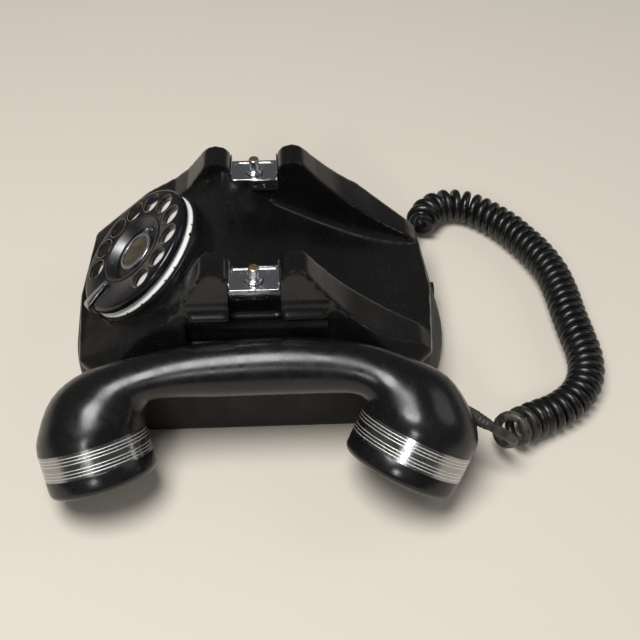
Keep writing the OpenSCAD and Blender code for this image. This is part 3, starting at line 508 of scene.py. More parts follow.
def wear_group():
    """Worn places: where the piece's own wear attribute is high, broken up by grain."""
    group, t = new_group("Worn Edges", [("Grain Scale", 700.0), ("Reach", 0.5)], ["Worn"])
    inside = t.nodes.new("NodeGroupInput").outputs
    outside = t.nodes.new("NodeGroupOutput").inputs
    amount = t.add("ShaderNodeAttribute", attribute_name="wear").outputs["Fac"]
    grain = t.ramp(t.noise(t.place(), inside["Grain Scale"], 4, 0.6), 0.3, 0.7)
    summed = t.plus(t.times(amount, inside["Reach"]), t.times(grain, 0.5))
    worn = t.times(t.ramp(summed, 0.5, 0.62), t.ramp(amount, 0.02, 0.2))
    t.links.new(worn, outside["Worn"])
    return group


def weave_group():
    """The fine rib of felt or wound tape."""
    group, t = new_group("Fibre", [("Scale", 1500.0)], ["Fibre", "Height"])
    inside = t.nodes.new("NodeGroupInput").outputs
    outside = t.nodes.new("NodeGroupOutput").inputs
    where = t.place((1, 2.5, 1), turn=(0.4, 0.2, 0.6))
    fibre = t.noise(where, inside["Scale"], 6, 0.75, 1.2)
    t.links.new(t.ramp(fibre, 0.35, 0.7), outside["Fibre"])
    t.links.new(fibre, outside["Height"])
    return group


SHADERS = {}


def shared(name):
    """A shared effect, built the first time it is wanted."""
    makers = {"handling": handling_group, "wear": wear_group, "fibre": weave_group}
    if name not in SHADERS:
        SHADERS[name] = makers[name]()
    return SHADERS[name]


def finish_material(name, colour, metallic=0.0, **sockets):
    """A material, its tree and its shader, with plain values on the shader's own sockets."""
    material = bpy.data.materials.new(name)
    material.use_nodes = True
    material.diffuse_color = (*colour[:3], 1)
    t = Tree(material.node_tree)
    shader = t.nodes["Principled BSDF"]
    shader.inputs["Base Color"].default_value = (*colour[:3], 1)
    shader.inputs["Metallic"].default_value = metallic
    for key, value in sockets.items():
        shader.inputs[key.replace("_", " ")].default_value = value
    return material, t, shader


def bump(t, shader, height, strength, distance=0.0002):
    node = t.add("ShaderNodeBump", {"Strength": strength, "Distance": distance, "Height": height})
    t.links.new(node.outputs["Normal"], shader.inputs["Normal"])


def phenolic(name, colour, shine, dust, smudge=55.0, dull_below=0.0):
    """Moulded black plastic: deep gloss, dull in patches and near the table, with dust and scratches."""
    material, t, shader = finish_material(name, colour, IOR=1.48)
    marks = t.group(shared("handling"), Smudge_Scale=smudge, Dust_Amount=dust)
    tone = t.ramp(t.noise(t.place(), 18, 3, 0.5), 0.3, 0.75)
    warm = tuple(c + w for c, w in zip(colour, (0.004, 0.003, 0.002)))
    base = t.mix(tone, tuple(colour), warm)
    base = t.mix(t.times(marks["Scratch"], 0.25), base, (0.09, 0.085, 0.08))
    base = t.mix(marks["Dust"], base, (0.34, 0.31, 0.27))
    t.links.new(base, shader.inputs["Base Color"])
    rough = t.plus(t.ramp(marks["Smudge"], 0, 1, shine, shine + 0.16),
                   t.times(marks["Scratch"], 0.25))
    if dull_below:
        height = t.add("ShaderNodeSeparateXYZ", {"Vector": t.place()}).outputs["Z"]
        rough = t.plus(rough, t.ramp(height, dull_below, dull_below + 0.003, 0.45, 0.0))
    t.links.new(t.plus(rough, t.times(marks["Dust"], 0.5)), shader.inputs["Roughness"])
    bump(t, shader, marks["Height"], 0.12)
    return material


def plated(name, colour, shine, tarnish=(0.32, 0.28, 0.22), amount=0.25, ripple=0.0):
    """Plated or plain metal with scratches, a little tarnish and the ripple of pressed sheet."""
    material, t, shader = finish_material(name, colour, metallic=1.0)
    marks = t.group(shared("handling"), Smudge_Scale=120.0, Dust_Amount=0.5)
    spots = t.ramp(t.noise(t.place(), 420, 5, 0.65), 0.56, 0.7)
    cloud = t.times(t.times(spots, marks["Smudge"]), amount)
    base = t.mix(cloud, tuple(colour), tarnish)
    base = t.mix(t.times(marks["Scratch"], 0.3), base, tuple(c * 0.6 for c in colour))
    t.links.new(base, shader.inputs["Base Color"])
    rough = t.plus(t.ramp(marks["Smudge"], 0, 1, shine, shine + 0.12), t.times(cloud, 0.8))
    t.links.new(rough, shader.inputs["Roughness"])
    if ripple:
        bump(t, shader, t.noise(t.place(), 45, 2, 0.5, 0.6), ripple, 0.006)
    else:
        bump(t, shader, marks["Height"], 0.08)
    return material


def enamelled(name, colour, under, shine, reach):
    """Painted metal that shows what is under it where it is worn."""
    material, t, shader = finish_material(name, colour, Coat_Weight=0.08, Coat_Roughness=0.1, IOR=1.45)
    marks = t.group(shared("handling"), Smudge_Scale=90.0, Dust_Amount=0.6)
    worn = t.group(shared("wear"), Reach=reach)["Worn"]
    dimmed = tuple(c * 0.8 + 0.003 for c in colour)
    base = t.mix(t.ramp(marks["Smudge"], 0, 1, 0, 0.22), tuple(colour), dimmed)
    base = t.mix(t.times(marks["Dust"], 0.8), base, (0.35, 0.32, 0.28))
    t.links.new(t.mix(worn, base, under), shader.inputs["Base Color"])
    t.links.new(t.times(worn, 0.9), shader.inputs["Metallic"])
    t.links.new(t.plus(t.ramp(marks["Smudge"], 0, 1, shine, shine + 0.15),
                       t.times(worn, 0.15)), shader.inputs["Roughness"])
    bump(t, shader, marks["Height"], 0.08)
    return material


def cord_rubber(name, colour):
    """Glossy rubber that is grey and perished where it nears the handset."""
    material = phenolic(name, colour, 0.22, 0.3, 90.0)
    t = Tree(material.node_tree)
    shader = t.nodes["Principled BSDF"]
    shine, tint = (shader.inputs[key].links[0].from_socket for key in ("Roughness", "Base Color"))
    away = t.add("ShaderNodeVectorMath", {0: t.place(), 1: PERISHED}, operation="DISTANCE").outputs["Value"]
    patches = t.ramp(t.noise(t.place(), 160, 4, 0.6, 0.6), 0.38, 0.6)
    aged = t.times(t.ramp(away, 0.018, 0.032, 1.0, 0.0), patches)
    t.links.new(t.mix(t.times(aged, 0.8), tint, (0.075, 0.07, 0.052)), shader.inputs["Base Color"])
    t.links.new(t.plus(shine, t.times(aged, 0.25)), shader.inputs["Roughness"])
    return material


def dull(name, colour, roughness, fibre=None, second=None):
    """A matt surface: rubber, felt, card, board or tape, by its fibre and its second colour."""
    material, t, shader = finish_material(name, colour)
    second = second or tuple(c * 1.6 + 0.01 for c in colour)
    if fibre:
        strands = t.group(shared("fibre"), Scale=fibre)
        t.links.new(t.mix(strands["Fibre"], tuple(colour), second), shader.inputs["Base Color"])
        bump(t, shader, strands["Height"], 0.5, 0.0003)
    else:
        marks = t.group(shared("handling"), Smudge_Scale=150.0, Dust_Amount=0.8)
        base = t.mix(marks["Smudge"], tuple(colour), second)
        t.links.new(t.mix(marks["Dust"], base, (0.3, 0.28, 0.25)), shader.inputs["Base Color"])
        bump(t, shader, marks["Height"], 0.15)
    tone = t.ramp(t.noise(t.place(), 200, 3, 0.5), 0.3, 0.7, roughness - 0.08, roughness + 0.08)
    t.links.new(tone, shader.inputs["Roughness"])
    return material


def card_material(name, colour):
    """A stained paper disc with a pale stroke or two."""
    material, t, shader = finish_material(name, colour)
    where = t.place()
    stain = t.ramp(t.noise(where, 160, 5, 0.65, 0.8), 0.35, 0.65)
    base = t.mix(stain, tuple(colour), tuple(c * 2.1 + 0.03 for c in colour))
    blot = t.ramp(t.noise(where, 60, 2, 0.5, 1.5), 0.5, 0.58)
    base = t.mix(t.times(blot, 0.6), base, (0.33, 0.28, 0.2))
    first = t.ramp(t.noise(t.place((1, 0.07, 0.07), turn=(0, 0, 0.5)), 420, 2, 0.4), 0.54, 0.6)
    second = t.ramp(t.noise(t.place((0.07, 1, 1), turn=(0, 0, 0.2)), 380, 2, 0.4), 0.57, 0.63)
    stroke = t.math("MAXIMUM", first, second)
    t.links.new(t.mix(t.times(stroke, 0.6), base, (0.42, 0.38, 0.3)), shader.inputs["Base Color"])
    t.links.new(t.ramp(stain, 0, 1, 0.42, 0.62), shader.inputs["Roughness"])
    bump(t, shader, stain, 0.1)
    return material


def clear_material(name):
    """A thin clear disc, hazed by scratches."""
    material, t, shader = finish_material(name, (0.95, 0.95, 0.93), Transmission_Weight=1.0, IOR=1.49)
    marks = t.group(shared("handling"), Smudge_Scale=200.0, Dust_Amount=0.4)
    t.links.new(t.ramp(marks["Scratch"], 0, 1, 0.05, 0.4), shader.inputs["Roughness"])
    bump(t, shader, marks["Height"], 0.1)
    return material


MATERIALS = {}


def finish(name):
    """One of the telephone's finishes, built the first time it is wanted."""
    c = bpy.context.scene.phone_colours
    makers = {
        "housing": lambda: phenolic("Housing Phenolic", c.housing, 0.17, 0.9, dull_below=0.040),
        "handset": lambda: phenolic("Handset Phenolic", c.handset, 0.2, 0.5, 80.0),
        "chrome": lambda: plated("Chrome", c.chrome, 0.06, amount=0.35),
        "tray": lambda: plated("Pressed Tray", c.chrome, 0.08, amount=0.5, ripple=0.16),
        # The band's plate (also the finger stop's) is a darker copy of the chrome, as painted shade for the
        # dark room it mirrors; the grooves are a paler copy, as painted highlight where they catch the light.
        "band": lambda: plated("Plate With Painted Shade", (0.36, 0.36, 0.37), 0.17, amount=0.5),
        "groove": lambda: plated("Groove With Painted Highlight", (0.92, 0.9, 0.86), 0.45, amount=0.2),
        # The ring's plate has a very dark colour, as painted shade for the dark surroundings it mirrors.
        "ring": lambda: plated("Ring With Painted Shade", (0.1, 0.1, 0.103), 0.33, (0.25, 0.25, 0.24), 0.5),
        "worn_plate": lambda: plated("Worn Plate", (0.56, 0.58, 0.62), 0.18, (0.36, 0.31, 0.24), 0.3),
        "tip_brass": lambda: plated("Tip Brass", c.brass, 0.28, (0.45, 0.3, 0.12), 0.5),
        "steel": lambda: plated("Plain Steel", (0.5, 0.5, 0.48), 0.35, (0.3, 0.26, 0.2), 0.5),
        "spring": lambda: plated("Blued Steel", (0.22, 0.24, 0.3), 0.3, (0.12, 0.1, 0.1), 0.4),
        "brass": lambda: plated("Gear Brass", (0.7, 0.52, 0.24), 0.28, (0.35, 0.24, 0.12), 0.5),
        "can": lambda: plated("Spun Can", (0.6, 0.6, 0.62), 0.4, (0.4, 0.4, 0.4), 0.3),
        "black_steel": lambda: enamelled("Lacquered Steel", (0.012,) * 3, (0.35, 0.33, 0.3), 0.4, 0.3),
        "wheel": lambda: enamelled("Wheel Enamel", c.wheel, c.brass, 0.13, 0.5),
        "plate": lambda: enamelled("White Enamel", c.plate, (0.03, 0.028, 0.026), 0.15, 0.5),
        "digits": lambda: dull("Digit Black", (0.01, 0.01, 0.01), 0.4),
        "card": lambda: card_material("Brown Card", c.card),
        "window": lambda: clear_material("Clear Disc"),
        "felt": lambda: dull("Felt", (0.05, 0.042, 0.036), 0.9, 1800.0),
        "rubber": lambda: cord_rubber("Rubber", c.cord),
        "old_rubber": lambda: dull("Perished Rubber", (0.022, 0.021, 0.02), 0.45),
        "winding": lambda: dull("Wound Tape", (0.22, 0.1, 0.045), 0.6, 900.0),
        "board": lambda: dull("Laminate", (0.07, 0.04, 0.025), 0.5, 700.0),
    }
    if name not in MATERIALS:
        MATERIALS[name] = makers[name]()
    return MATERIALS[name]


# ---------------------------------------------------------------- settings

def length(name, text, default, low, high):
    return FloatProperty(name=name, description=text, default=default, min=low, max=high, unit="NONE")


def colour(name, text, default):
    return FloatVectorProperty(name=name, description=text, default=default, size=3, min=0, max=1,
                               subtype="COLOR")


class PhoneSizes(bpy.types.PropertyGroup):
    edge_passes: IntProperty(name="Edge softness", description="How often the housing's edges are smoothed",
                             default=3, min=1, max=8)
    fillet_passes: IntProperty(name="Fillet softness", default=34, min=5, max=60,
                               description="How often the valleys between the fins are smoothed")
    cell: length("Housing grid", "Spacing of the housing's surface grid, in millimetres", 1.45, 1.2, 3.0)
    wheel_r: length("Wheel radius", "Radius of the finger wheel, in millimetres", 40.8, 38.0, 40.8)
    hole_r: length("Hole radius", "Radius of a finger hole, in millimetres", 6.2, 5.5, 6.6)
    hole_circle: length("Hole circle", "Radius of the holes' circle, in millimetres", 31.4, 30.0, 32.5)
    hole_step: FloatProperty(name="Hole step", description="Angle from one finger hole to the next",
                             default=radians(27.2), subtype="ANGLE")
    first_hole: FloatProperty(name="First hole", description="Angle of the first finger hole from the right",
                              default=radians(18.2), subtype="ANGLE")
    stop_angle: FloatProperty(name="Finger stop", description="Angle of the finger stop from the right",
                              default=radians(-56), subtype="ANGLE")
    digit_h: length("Digit height", "Height of the numbers, in millimetres", 6.4, 3.0, 9.0)
    pitch: length("Coil pitch", "Distance from turn to turn of the coil, in millimetres", 5.9, 5.0, 9.0)
    cord_d: length("Cord diameter", "Diameter of the cord itself, in millimetres", 5.6, 4.0, 6.0)
    coil_d: length("Coil diameter", "Outer diameter of the coiled cord, in millimetres", 22.3, 18.0, 23.0)


class PhoneColours(bpy.types.PropertyGroup):
    housing: colour("Housing", "Moulded housing", (0.0035, 0.0035, 0.0038))
    handset: colour("Handset", "Moulded handset", (0.004, 0.0042, 0.0048))
    chrome: colour("Chrome", "Plated trim", (0.78, 0.78, 0.79))
    brass: colour("Brass", "Bare brass where plate or enamel is worn through", (0.72, 0.5, 0.2))
    wheel: colour("Finger wheel", "Enamel of the finger wheel", (0.006, 0.006, 0.008))
    plate: colour("Number plate", "Vitreous enamel of the number plate", (0.8, 0.8, 0.77))
    card: colour("Number card", "Paper disc in the dial's middle", (0.13, 0.095, 0.06))
    cord: colour("Cord", "Rubber of the coiled cord", (0.005, 0.005, 0.0055))
    floor: colour("Floor", "Table top under the telephone", (0.70, 0.64, 0.55))


# ---------------------------------------------------------------- housing

def base_points(inset, height):
    """The outline of the base: straight sides, round corners and gently bowed ends."""
    cx, cy, r = BASE_CORNER
    end_y, end_r = BASE_END
    turn = atan2(cy - end_y, cx)
    corner = [turn * i / 10 for i in range(11)]
    bow = [turn + (pi / 2 - turn) * i / 6 for i in range(1, 7)]
    quarter = [(cx + (r - inset) * cos(a), cy + (r - inset) * sin(a)) for a in corner]
    quarter += [((end_r - inset) * cos(a), end_y + (end_r - inset) * sin(a)) for a in bow]
    half = quarter + [(-x, y) for x, y in reversed(quarter[:-1])]
    return [(x, y, height) for x, y in half] + [(-x, -y, height) for x, y in half]


def skirt_points(inset, height):
    inner = []
    for x, y in SKIRT_HALF:
        side = inset * (x > 60) + inset / 2 * (50 < x < 60)
        end = inset if abs(y) > 90 else inset / 2
        inner.append((x - side, y - end if y > 0 else y + end))
    return [(x, y, height) for x, y in inner] + [(-x, y, height) for x, y in inner[1:-1]]


def skirt_solid(inset, low, high):
    return hull(skirt_points(inset, high) + base_points(inset, low) + base_points(inset, low + 5))


def upper_solid(inset, foot):
    top_y = EAR_Y + EAR_R - inset
    top = [(sx * (FIN_OUT - inset), sy * top_y, EAR_TOP + 1) for sx in (-1, 1) for sy in (-1, 1)]
    return hull(skirt_points(inset, SKIRT_Z - inset) + skirt_points(inset + 2, foot) + top)


def arch(y, start, end, steps=16):
    """The round top of an ear, from one angle to another."""
    angles = [radians(start + (end - start) * i / steps) for i in range(steps + 1)]
    return [(y + EAR_R * cos(a), EAR_TOP - EAR_R + EAR_R * sin(a)) for a in angles]


def rear_points():
    return [tuple(p) for p in smooth_curve([(*p, 0) for p in REAR_SLOPE], 4)]


def centre_outline():
    rear = [(p[0], p[1]) for p in rear_points()]
    return ([(-130, 20), (-130, slope_z(-130)), (CREST_Y, slope_z(CREST_Y))] + rear
            + [(130, SKIRT_Z), (130, 20)])


def fin_outline():
    rear = [tuple(p)[:2] for p in smooth_curve([(*p, 0) for p in FIN_SLOPE], 3)]
    return ([(-130, 20), (-130, slope_z(-130)), (-48.5, slope_z(-48.5)), (-39.5, 92.6)]
            + arch(-EAR_Y, 145, 0) + [(-EAR_Y + EAR_R, NOTCH_Z), (EAR_Y - EAR_R, NOTCH_Z)]
            + arch(EAR_Y, 180, 35) + rear + [(130, SKIRT_Z), (130, 20)])


def height_at(outline, y):
    """Height of the top of an outline at one place along it."""
    best = 0.0
    for (y0, z0), (y1, z1) in zip(outline, outline[1:]):
        if y0 <= y <= y1 and y1 > y0:
            best = max(best, z0 + (z1 - z0) * (y - y0) / (y1 - y0))
    return best


def foot_lug(front):
    """The flared lip under an ear, where the fingers take hold: drawn across, then cut back at its ends."""
    across = [(53, 95.5), (56.5, 94), (57.2, 90), (58.6, 87.2), (61, 84.6), (61, 81.6), (59.8, 81), (53, 81)]
    low, high = front
    bm = drawn([(x, low, z) for x, z in across], (0, high - low, 0))
    middle = (low + high) / 2
    for v in bm.verts:
        taper = 1 - 0.30 * max(0.0, min(1.0, (v.co.z - 84.6) / 10)) - 0.13 * (v.co.x > 60)
        v.co.y = middle + (v.co.y - middle) * taper
    return bm


def side_hollow(front):
    """The shallow hollow over a lip: a round-bottomed groove along the side of the fin."""
    r, x, z = HOLLOW
    return rod(r, *front, at(x, 0, z) @ Matrix.Rotation(-pi / 2, 4, "X"), 64)


def passes_at(co, fins, centre, usual, fillet):
    """How often a vertex of the housing is smoothed: little on its edges, more in its valleys."""
    x, y, z = abs(co.x), co.y, co.z
    if z < SHELL_Z + 2:
        return 0
    top = height_at(fins, y)
    floor = height_at(centre, y)
    if y > 8 and 22 < x < 37.4 and z < top - 4.0 and z < floor + 26:
        return int(fillet * min(1.0, (top - z) / 12))
    if -28 < y <= 8 and x < 35:
        return usual + 18
    if y < -26 and 31 < x < 37.2 and z < top - 3.0:
        return int(fillet * 0.5)
    return usual


def soften_housing(bm, usual, fillet):
    fins, centre = fin_outline(), centre_outline()
    wanted = {v: passes_at(v.co, fins, centre, usual, fillet) for v in bm.verts}
    for i in range(max(wanted.values())):
        live = [v for v, n in wanted.items() if n > i]
        bmesh.ops.smooth_vert(bm, verts=live, factor=0.5, use_axis_x=True, use_axis_y=True, use_axis_z=True)


def housing_cavity():
    """The room inside the housing, less the fins' solid feet and the four screw bosses."""
    under, top, front, crest = 5.5, 94.0, FRONT_Y + WALL, -25.5
    roof = [(front, 0), (front, slope_z(front) - under)]
    roof += [(crest, min(top, slope_z(crest) - under)), (-10, top)]
    roof += [(y - WALL * y / REAR_Y, z - under) for y, z in REAR_SLOPE if y > 0] + [(REAR_Y - WALL, 0)]
    room = combine(upper_solid(WALL, 30), prism(roof, -FAR, FAR), "INTERSECT")
    room = combine(room, skirt_solid(WALL, SHELL_Z - 1, SKIRT_Z - WALL), "UNION")
    for side in (-1, 1):
        x, front_y, low, rear_y = FIN_FOOT
        near, far = sorted((side * x, side * FAR))
        room = cut(room, block((near, front_y, low), (far, rear_y, FAR)))
        for y in (-SCREW_Y, SCREW_Y):
            room = cut(room, rod(BOSS_R, -5, SKIRT_Z - 6, at(side * SCREW_X, y, 0), 32))
    return room


class PHONE_OT_housing(bpy.types.Operator):
    """Moulds the hollow housing: bowed skirt, sloping dial face, four ears on two fins, and finger grips"""
    bl_idname = "phone.housing"
    bl_label = "Housing"

    def execute(self, context):
        sizes = context.scene.phone_sizes
        bm = combine(upper_solid(0, 38), self.top_form(), "INTERSECT")
        bm = combine(bm, skirt_solid(0, SHELL_Z, SKIRT_Z), "UNION")
        for side in (Matrix(), Matrix.Scale(-1, 4, (1, 0, 0))):
            for span in LUG_SPANS:
                wider = (span[0] - HOLLOW_EXTRA, span[1] + HOLLOW_EXTRA)
                bm = cut(bm, moved(side_hollow(wider), side))
                bm = combine(bm, moved(foot_lug(span), side), "UNION")
            web = block((FIN_OUT, EAR_R - EAR_Y, RECESS_LOW), (FAR_X, EAR_Y - EAR_R, FAR))
            for tool in (web, block((GRIP_X, *GRIP_LOW), (FAR_X, *GRIP_HIGH))):
                bm = cut(bm, moved(tool, side))
        share = 2 * BASE_HALF_L / (sizes.cell * 2 ** GRID_DEPTH)
        bm = with_modifier(bm, "REMESH", mode="SHARP", octree_depth=GRID_DEPTH, scale=min(0.99, share),
                           sharpness=1.0, use_remove_disconnected=False)
        soften_housing(bm, sizes.edge_passes, sizes.fillet_passes)
        boss = rounded([(0, -8), (DIAL_BOSS, -8), (DIAL_BOSS, 0, 0.35), (0, 0)], 0.01, 4)
        boss = lathe(boss, closed=False, steps=180)
        bm = combine(bm, moved(boss, AT_DIAL), "UNION")
        bm = cut(bm, housing_cavity())
        for hole in self.holes():
            bm = cut(bm, rod(*hole))
        tidy(bm, 0.0005)
        piece("housing_shell", bm, finish("housing"), "base", ["housing"], angle=38)
        return {"FINISHED"}

    def top_form(self):
        form = prism(centre_outline(), -FIN_IN - 0.02, FIN_IN + 0.02)
        for low, high in ((FIN_IN, FAR), (-FAR, -FIN_IN)):
            form = combine(form, prism(fin_outline(), low, high), "UNION")
        return form

    def holes(self):
        """Radius, low end, high end and place of each bore."""
        places = [(CASE_HOLE_R, -14, 6, AT_DIAL), (DIAL_BOSS, 0, 9, AT_DIAL),
                  (GLAND_R + 0.1, -14, 14, AT_GLAND), (INLET_R + 0.05, -9, 9, AT_INLET)]
        places += [(BUSH_R, 76, 110, at(side * PLUNGER_X, 0, 0)) for side in (-1, 1)]
        screws = [(x, y) for x in (-SCREW_X, SCREW_X) for y in (-SCREW_Y, SCREW_Y)]
        return places + [(SCREW_R, -4, 18, at(x, y, 0)) for x, y in screws]


# ---------------------------------------------------------------- base

class PHONE_OT_base(bpy.types.Operator):
    """Finishes the base plate and pad, and makes the ribbed cord gland and the line inlet"""
    bl_idname = "phone.base"
    bl_label = "Base"

    def execute(self, context):
        recolour("base_pad", finish("felt"))
        recolour("base_plate", finish("black_steel"))
        recolour("housing_screws", finish("steel"))
        cord_r = context.scene.phone_sizes.cord_d / 2
        neck_r = GLAND_R - 0.8
        ribs = [(cord_r + 0.3, -9.0), (GLAND_R, -9.0), (GLAND_R, 4.4)]
        for i in range(3):
            z = 4.4 + i * 1.5
            ribs += [(GLAND_R, z + 0.2), (GLAND_R, z + 1.0), (neck_r, z + 1.1), (neck_r, z + 1.4)]
        gland = lathe(rounded(ribs + [(neck_r, GLAND_END), (cord_r + 0.05, GLAND_END)], 0.25, 2), steps=64)
        piece("gland", gland, finish("rubber"), "base", ["cord_gland"], AT_GLAND)
        inlet = [(3.0, -5.0), (INLET_R, -5.0), (INLET_R, 5.0), (4.6, 5.0), (4.4, 4.4), (3.0, 4.4)]
        inlet = lathe(rounded(inlet, 0.5, 3), steps=64)
        piece("line_socket", inlet, finish("rubber"), "base", ["line_inlet"], AT_INLET)
        return {"FINISHED"}


# ---------------------------------------------------------------- cradle

class PHONE_OT_cradle(bpy.types.Operator):
    """Makes the plated trays between the ears, and the plungers in their collars"""
    bl_idname = "phone.cradle"
    bl_label = "Cradle"

    def execute(self, context):
        for side, name in ((1, "right"), (-1, "left")):
            flip = Matrix.Scale(side, 4, (1, 0, 0))
            piece("tray_" + name, moved(self.tray(), flip), finish("tray"), "base",
                  ["guard_" + name], angle=50)
            place = at(side * PLUNGER_X, 0, 0)
            piece("plunger_collar_" + name, self.collar(), finish("chrome"), "base",
                  ["collar_" + name], place)
            piece("plunger_rod_" + name, self.rod(), [finish("worn_plate"), finish("tip_brass")],
                  name + "_plunger", ["plunger_" + name], place)
        return {"FINISHED"}

    def tray(self):
        half_y = EAR_Y - EAR_R
        inside = half_y - 1.6
        floor = [(FIN_IN, -half_y), (TRAY_OUT, -half_y), (TRAY_OUT, half_y), (FIN_IN, half_y)]
        well = rounded([(37.2, -inside), (51.6, -inside, 4), (51.6, inside, 4), (37.2, inside)], 1.2, 6)
        floor = plate(rounded(floor, 0.6, 3), NOTCH_Z, NOTCH_Z + 1)
        bm = cut(floor, plate(well, NOTCH_Z + 0.45, NOTCH_Z + 2))
        bm = cut(bm, rod(BUSH_R, 95, 102, at(PLUNGER_X, 0, 0)))
        soften(bm, 0.16, 40, 2)
        low_z = NOTCH_Z - 6.5
        outer = block((FIN_OUT, -half_y, low_z), (TRAY_OUT, half_y, NOTCH_Z + 0.8))
        inner = block((FIN_IN - 1, -3, low_z), (FIN_IN, half_y, NOTCH_Z + 1))
        for r, y, z in ((1.5, 0.6, 96), (0.45, 5.4, 94.2), (0.45, 5.4, 95.4), (0.45, 5.4, 96.6)):
            inner = cut(inner, rod(r, 0, 10, at(30, y, z) @ Matrix.Rotation(pi / 2, 4, "Y"), 24))
        thick, tall = 0.9, 6
        ends = [block((FIN_IN, y, NOTCH_Z), (TRAY_OUT, y + thick, NOTCH_Z + tall))
                for y in (-half_y, half_y - thick)]
        for wall in (outer, inner, *ends):
            add_to(bm, soften(wall, 0.25, 40, 3))
        return bm

    def collar(self):
        inner, outer = 3.05, BUSH_R - 0.05
        return lathe(rounded([(inner, 88), (outer, 88), (outer, 99.5), (4.9, 99.5), (4.9, 100.3, 0.6),
                              (4.3, 101.1, 0.5), (inner, 101.1)], 0.15, 3), steps=64)

    def rod(self):
        profile = [(0, 79), (3.8, 79), (4, 79.2), (4, 80.0), (3.8, 80.2), (3, 80.2), (3, 107.2),
                   (2.86, 107.6), (2.5, 107.92), (2.0, 108), (0, 108)]
        bm = lathe(profile, closed=False, steps=64)
        for face in bm.faces:
            face.material_index = 1 if face.calc_center_median().z > 107.8 else 0
        return bm


# ---------------------------------------------------------------- dial

def hole_angles(sizes):
    return [sizes.first_hole + i * sizes.hole_step for i in range(10)]


def mark_wear(bm, amount):
    """Writes the wear attribute from a rule on each face."""
    layer = bm.faces.layers.float.new("wear")
    for face in bm.faces:
        face[layer] = amount(face)


class PHONE_OT_number_plate(bpy.types.Operator):
    """Makes the enamelled number plate with its conical rim, and its numbers"""
    bl_idname = "phone.number_plate"
    bl_label = "Number plate"

    def execute(self, context):
        sizes = context.scene.phone_sizes
        bore, outer, flat, low, high, t = 22.5, 41.1, 34.7, 1.2, 4.4, 0.8
        profile = [(bore, high), (flat, high, 1.2), (outer - t, low), (outer, low), (outer, low + t, 0.4),
                   (flat + 0.5, high + t, 1.2), (bore, high + t)]
        bm = lathe(rounded(profile, 0.2, 4), steps=240)
        mark_wear(bm, lambda face: self.chips(face.calc_center_median(), outer))
        piece("enamel_plate", bm, finish("plate"), "base", ["number_plate"], AT_DIAL)
        digits = bmesh.new()
        for i, angle in enumerate(hole_angles(sizes)):
            self.add_digit(digits, str((i + 1) % 10), sizes.digit_h, angle, sizes.hole_circle)
        piece("dial_numbers", digits, finish("digits"), "base", place=AT_DIAL)
        recolour("dial_case", finish("black_steel"))
        recolour("dial_screws", finish("steel"))
        return {"FINISHED"}

    def chips(self, co, outer):
        r = hypot(co.x, co.y)
        spot = noise.noise(Vector((co.x, co.y, 0)) * 0.42)
        return 1.0 if r > outer - 1.1 and spot > 0.47 else 0.0

    def add_digit(self, bm, text, height, angle, r):
        curve = bpy.data.curves.new("digit", "FONT")
        curve.body = text
        curve.size = height / 0.72
        curve.align_x = "CENTER"
        curve.align_y = "CENTER"
        curve.extrude = 0.03
        curve.offset = 0.12
        mesh = curve_mesh("digit", curve)
        mesh.transform(at(r * cos(angle), r * sin(angle), DIGIT_FLOOR))
        bm.from_mesh(mesh)
        bpy.data.meshes.remove(mesh)


class PHONE_OT_finger_wheel(bpy.types.Operator):
    """Makes the finger wheel with its ten holes, worn to brass round their edges"""
    bl_idname = "phone.finger_wheel"
    bl_label = "Finger wheel"

    def execute(self, context):
        sizes = context.scene.phone_sizes
        r, low, top, skirt, rim = sizes.wheel_r, WHEEL_LOW, WHEEL_TOP, 5.2, 2.0
        profile = [(0, DISH_FLOOR - 1), (DISH_FLOOR_R + 0.9, DISH_FLOOR - 1), (DISH_R + 0.6, low),
                   (r - 1.2, low), (r - 1.2, skirt + 0.1), (r - 1.05, skirt), (r - 0.3, skirt),
                   (r - 0.1, skirt + 0.1), (r, skirt + 0.4)]
        turns = [radians(a) for a in range(0, 91, 10)]
        profile += [(r - rim + rim * cos(a), top - rim + rim * sin(a)) for a in turns]
        profile += [(DISH_R + 0.4, top), (DISH_R, top - 0.12), (DISH_FLOOR_R, DISH_FLOOR), (0, DISH_FLOOR)]
        bm = lathe(profile, closed=False, steps=144)
        centres = [Vector((cos(a), sin(a))) * sizes.hole_circle for a in hole_angles(sizes)]
        for x, y in centres:
            bm = cut(bm, rod(sizes.hole_r, 6, 12, at(x, y, 0), 72))
        inner, outer, edge = sizes.hole_r + 0.02, sizes.hole_r + 0.55, top + 0.04
        lip = [(inner, top - 0.7), (outer, top - 0.7), (outer, edge, 0.25), (inner, edge, 0.3)]
        for x, y in centres:
            ring = lathe(rounded(lip, 0.01, 4), steps=72)
            bmesh.ops.translate(ring, verts=ring.verts, vec=(x, y, 0))
            add_to(bm, ring)
        mark_wear(bm, lambda face: self.wear(face, centres, sizes.hole_r, top))
        piece("finger_disc", bm, finish("wheel"), "dial", ["finger_wheel"], AT_DIAL)
        return {"FINISHED"}

    def wear(self, face, centres, hole_r, top):
        co = face.calc_center_median()
        near = min((co.xy - c).length for c in centres) - hole_r
        rubbed = noise.noise(Vector((co.x, co.y, 0)) * 0.16) > -0.16
        return 1.0 if rubbed and near < 0.6 and co.z > top - 0.35 and face.calc_area() < 1 else 0.0


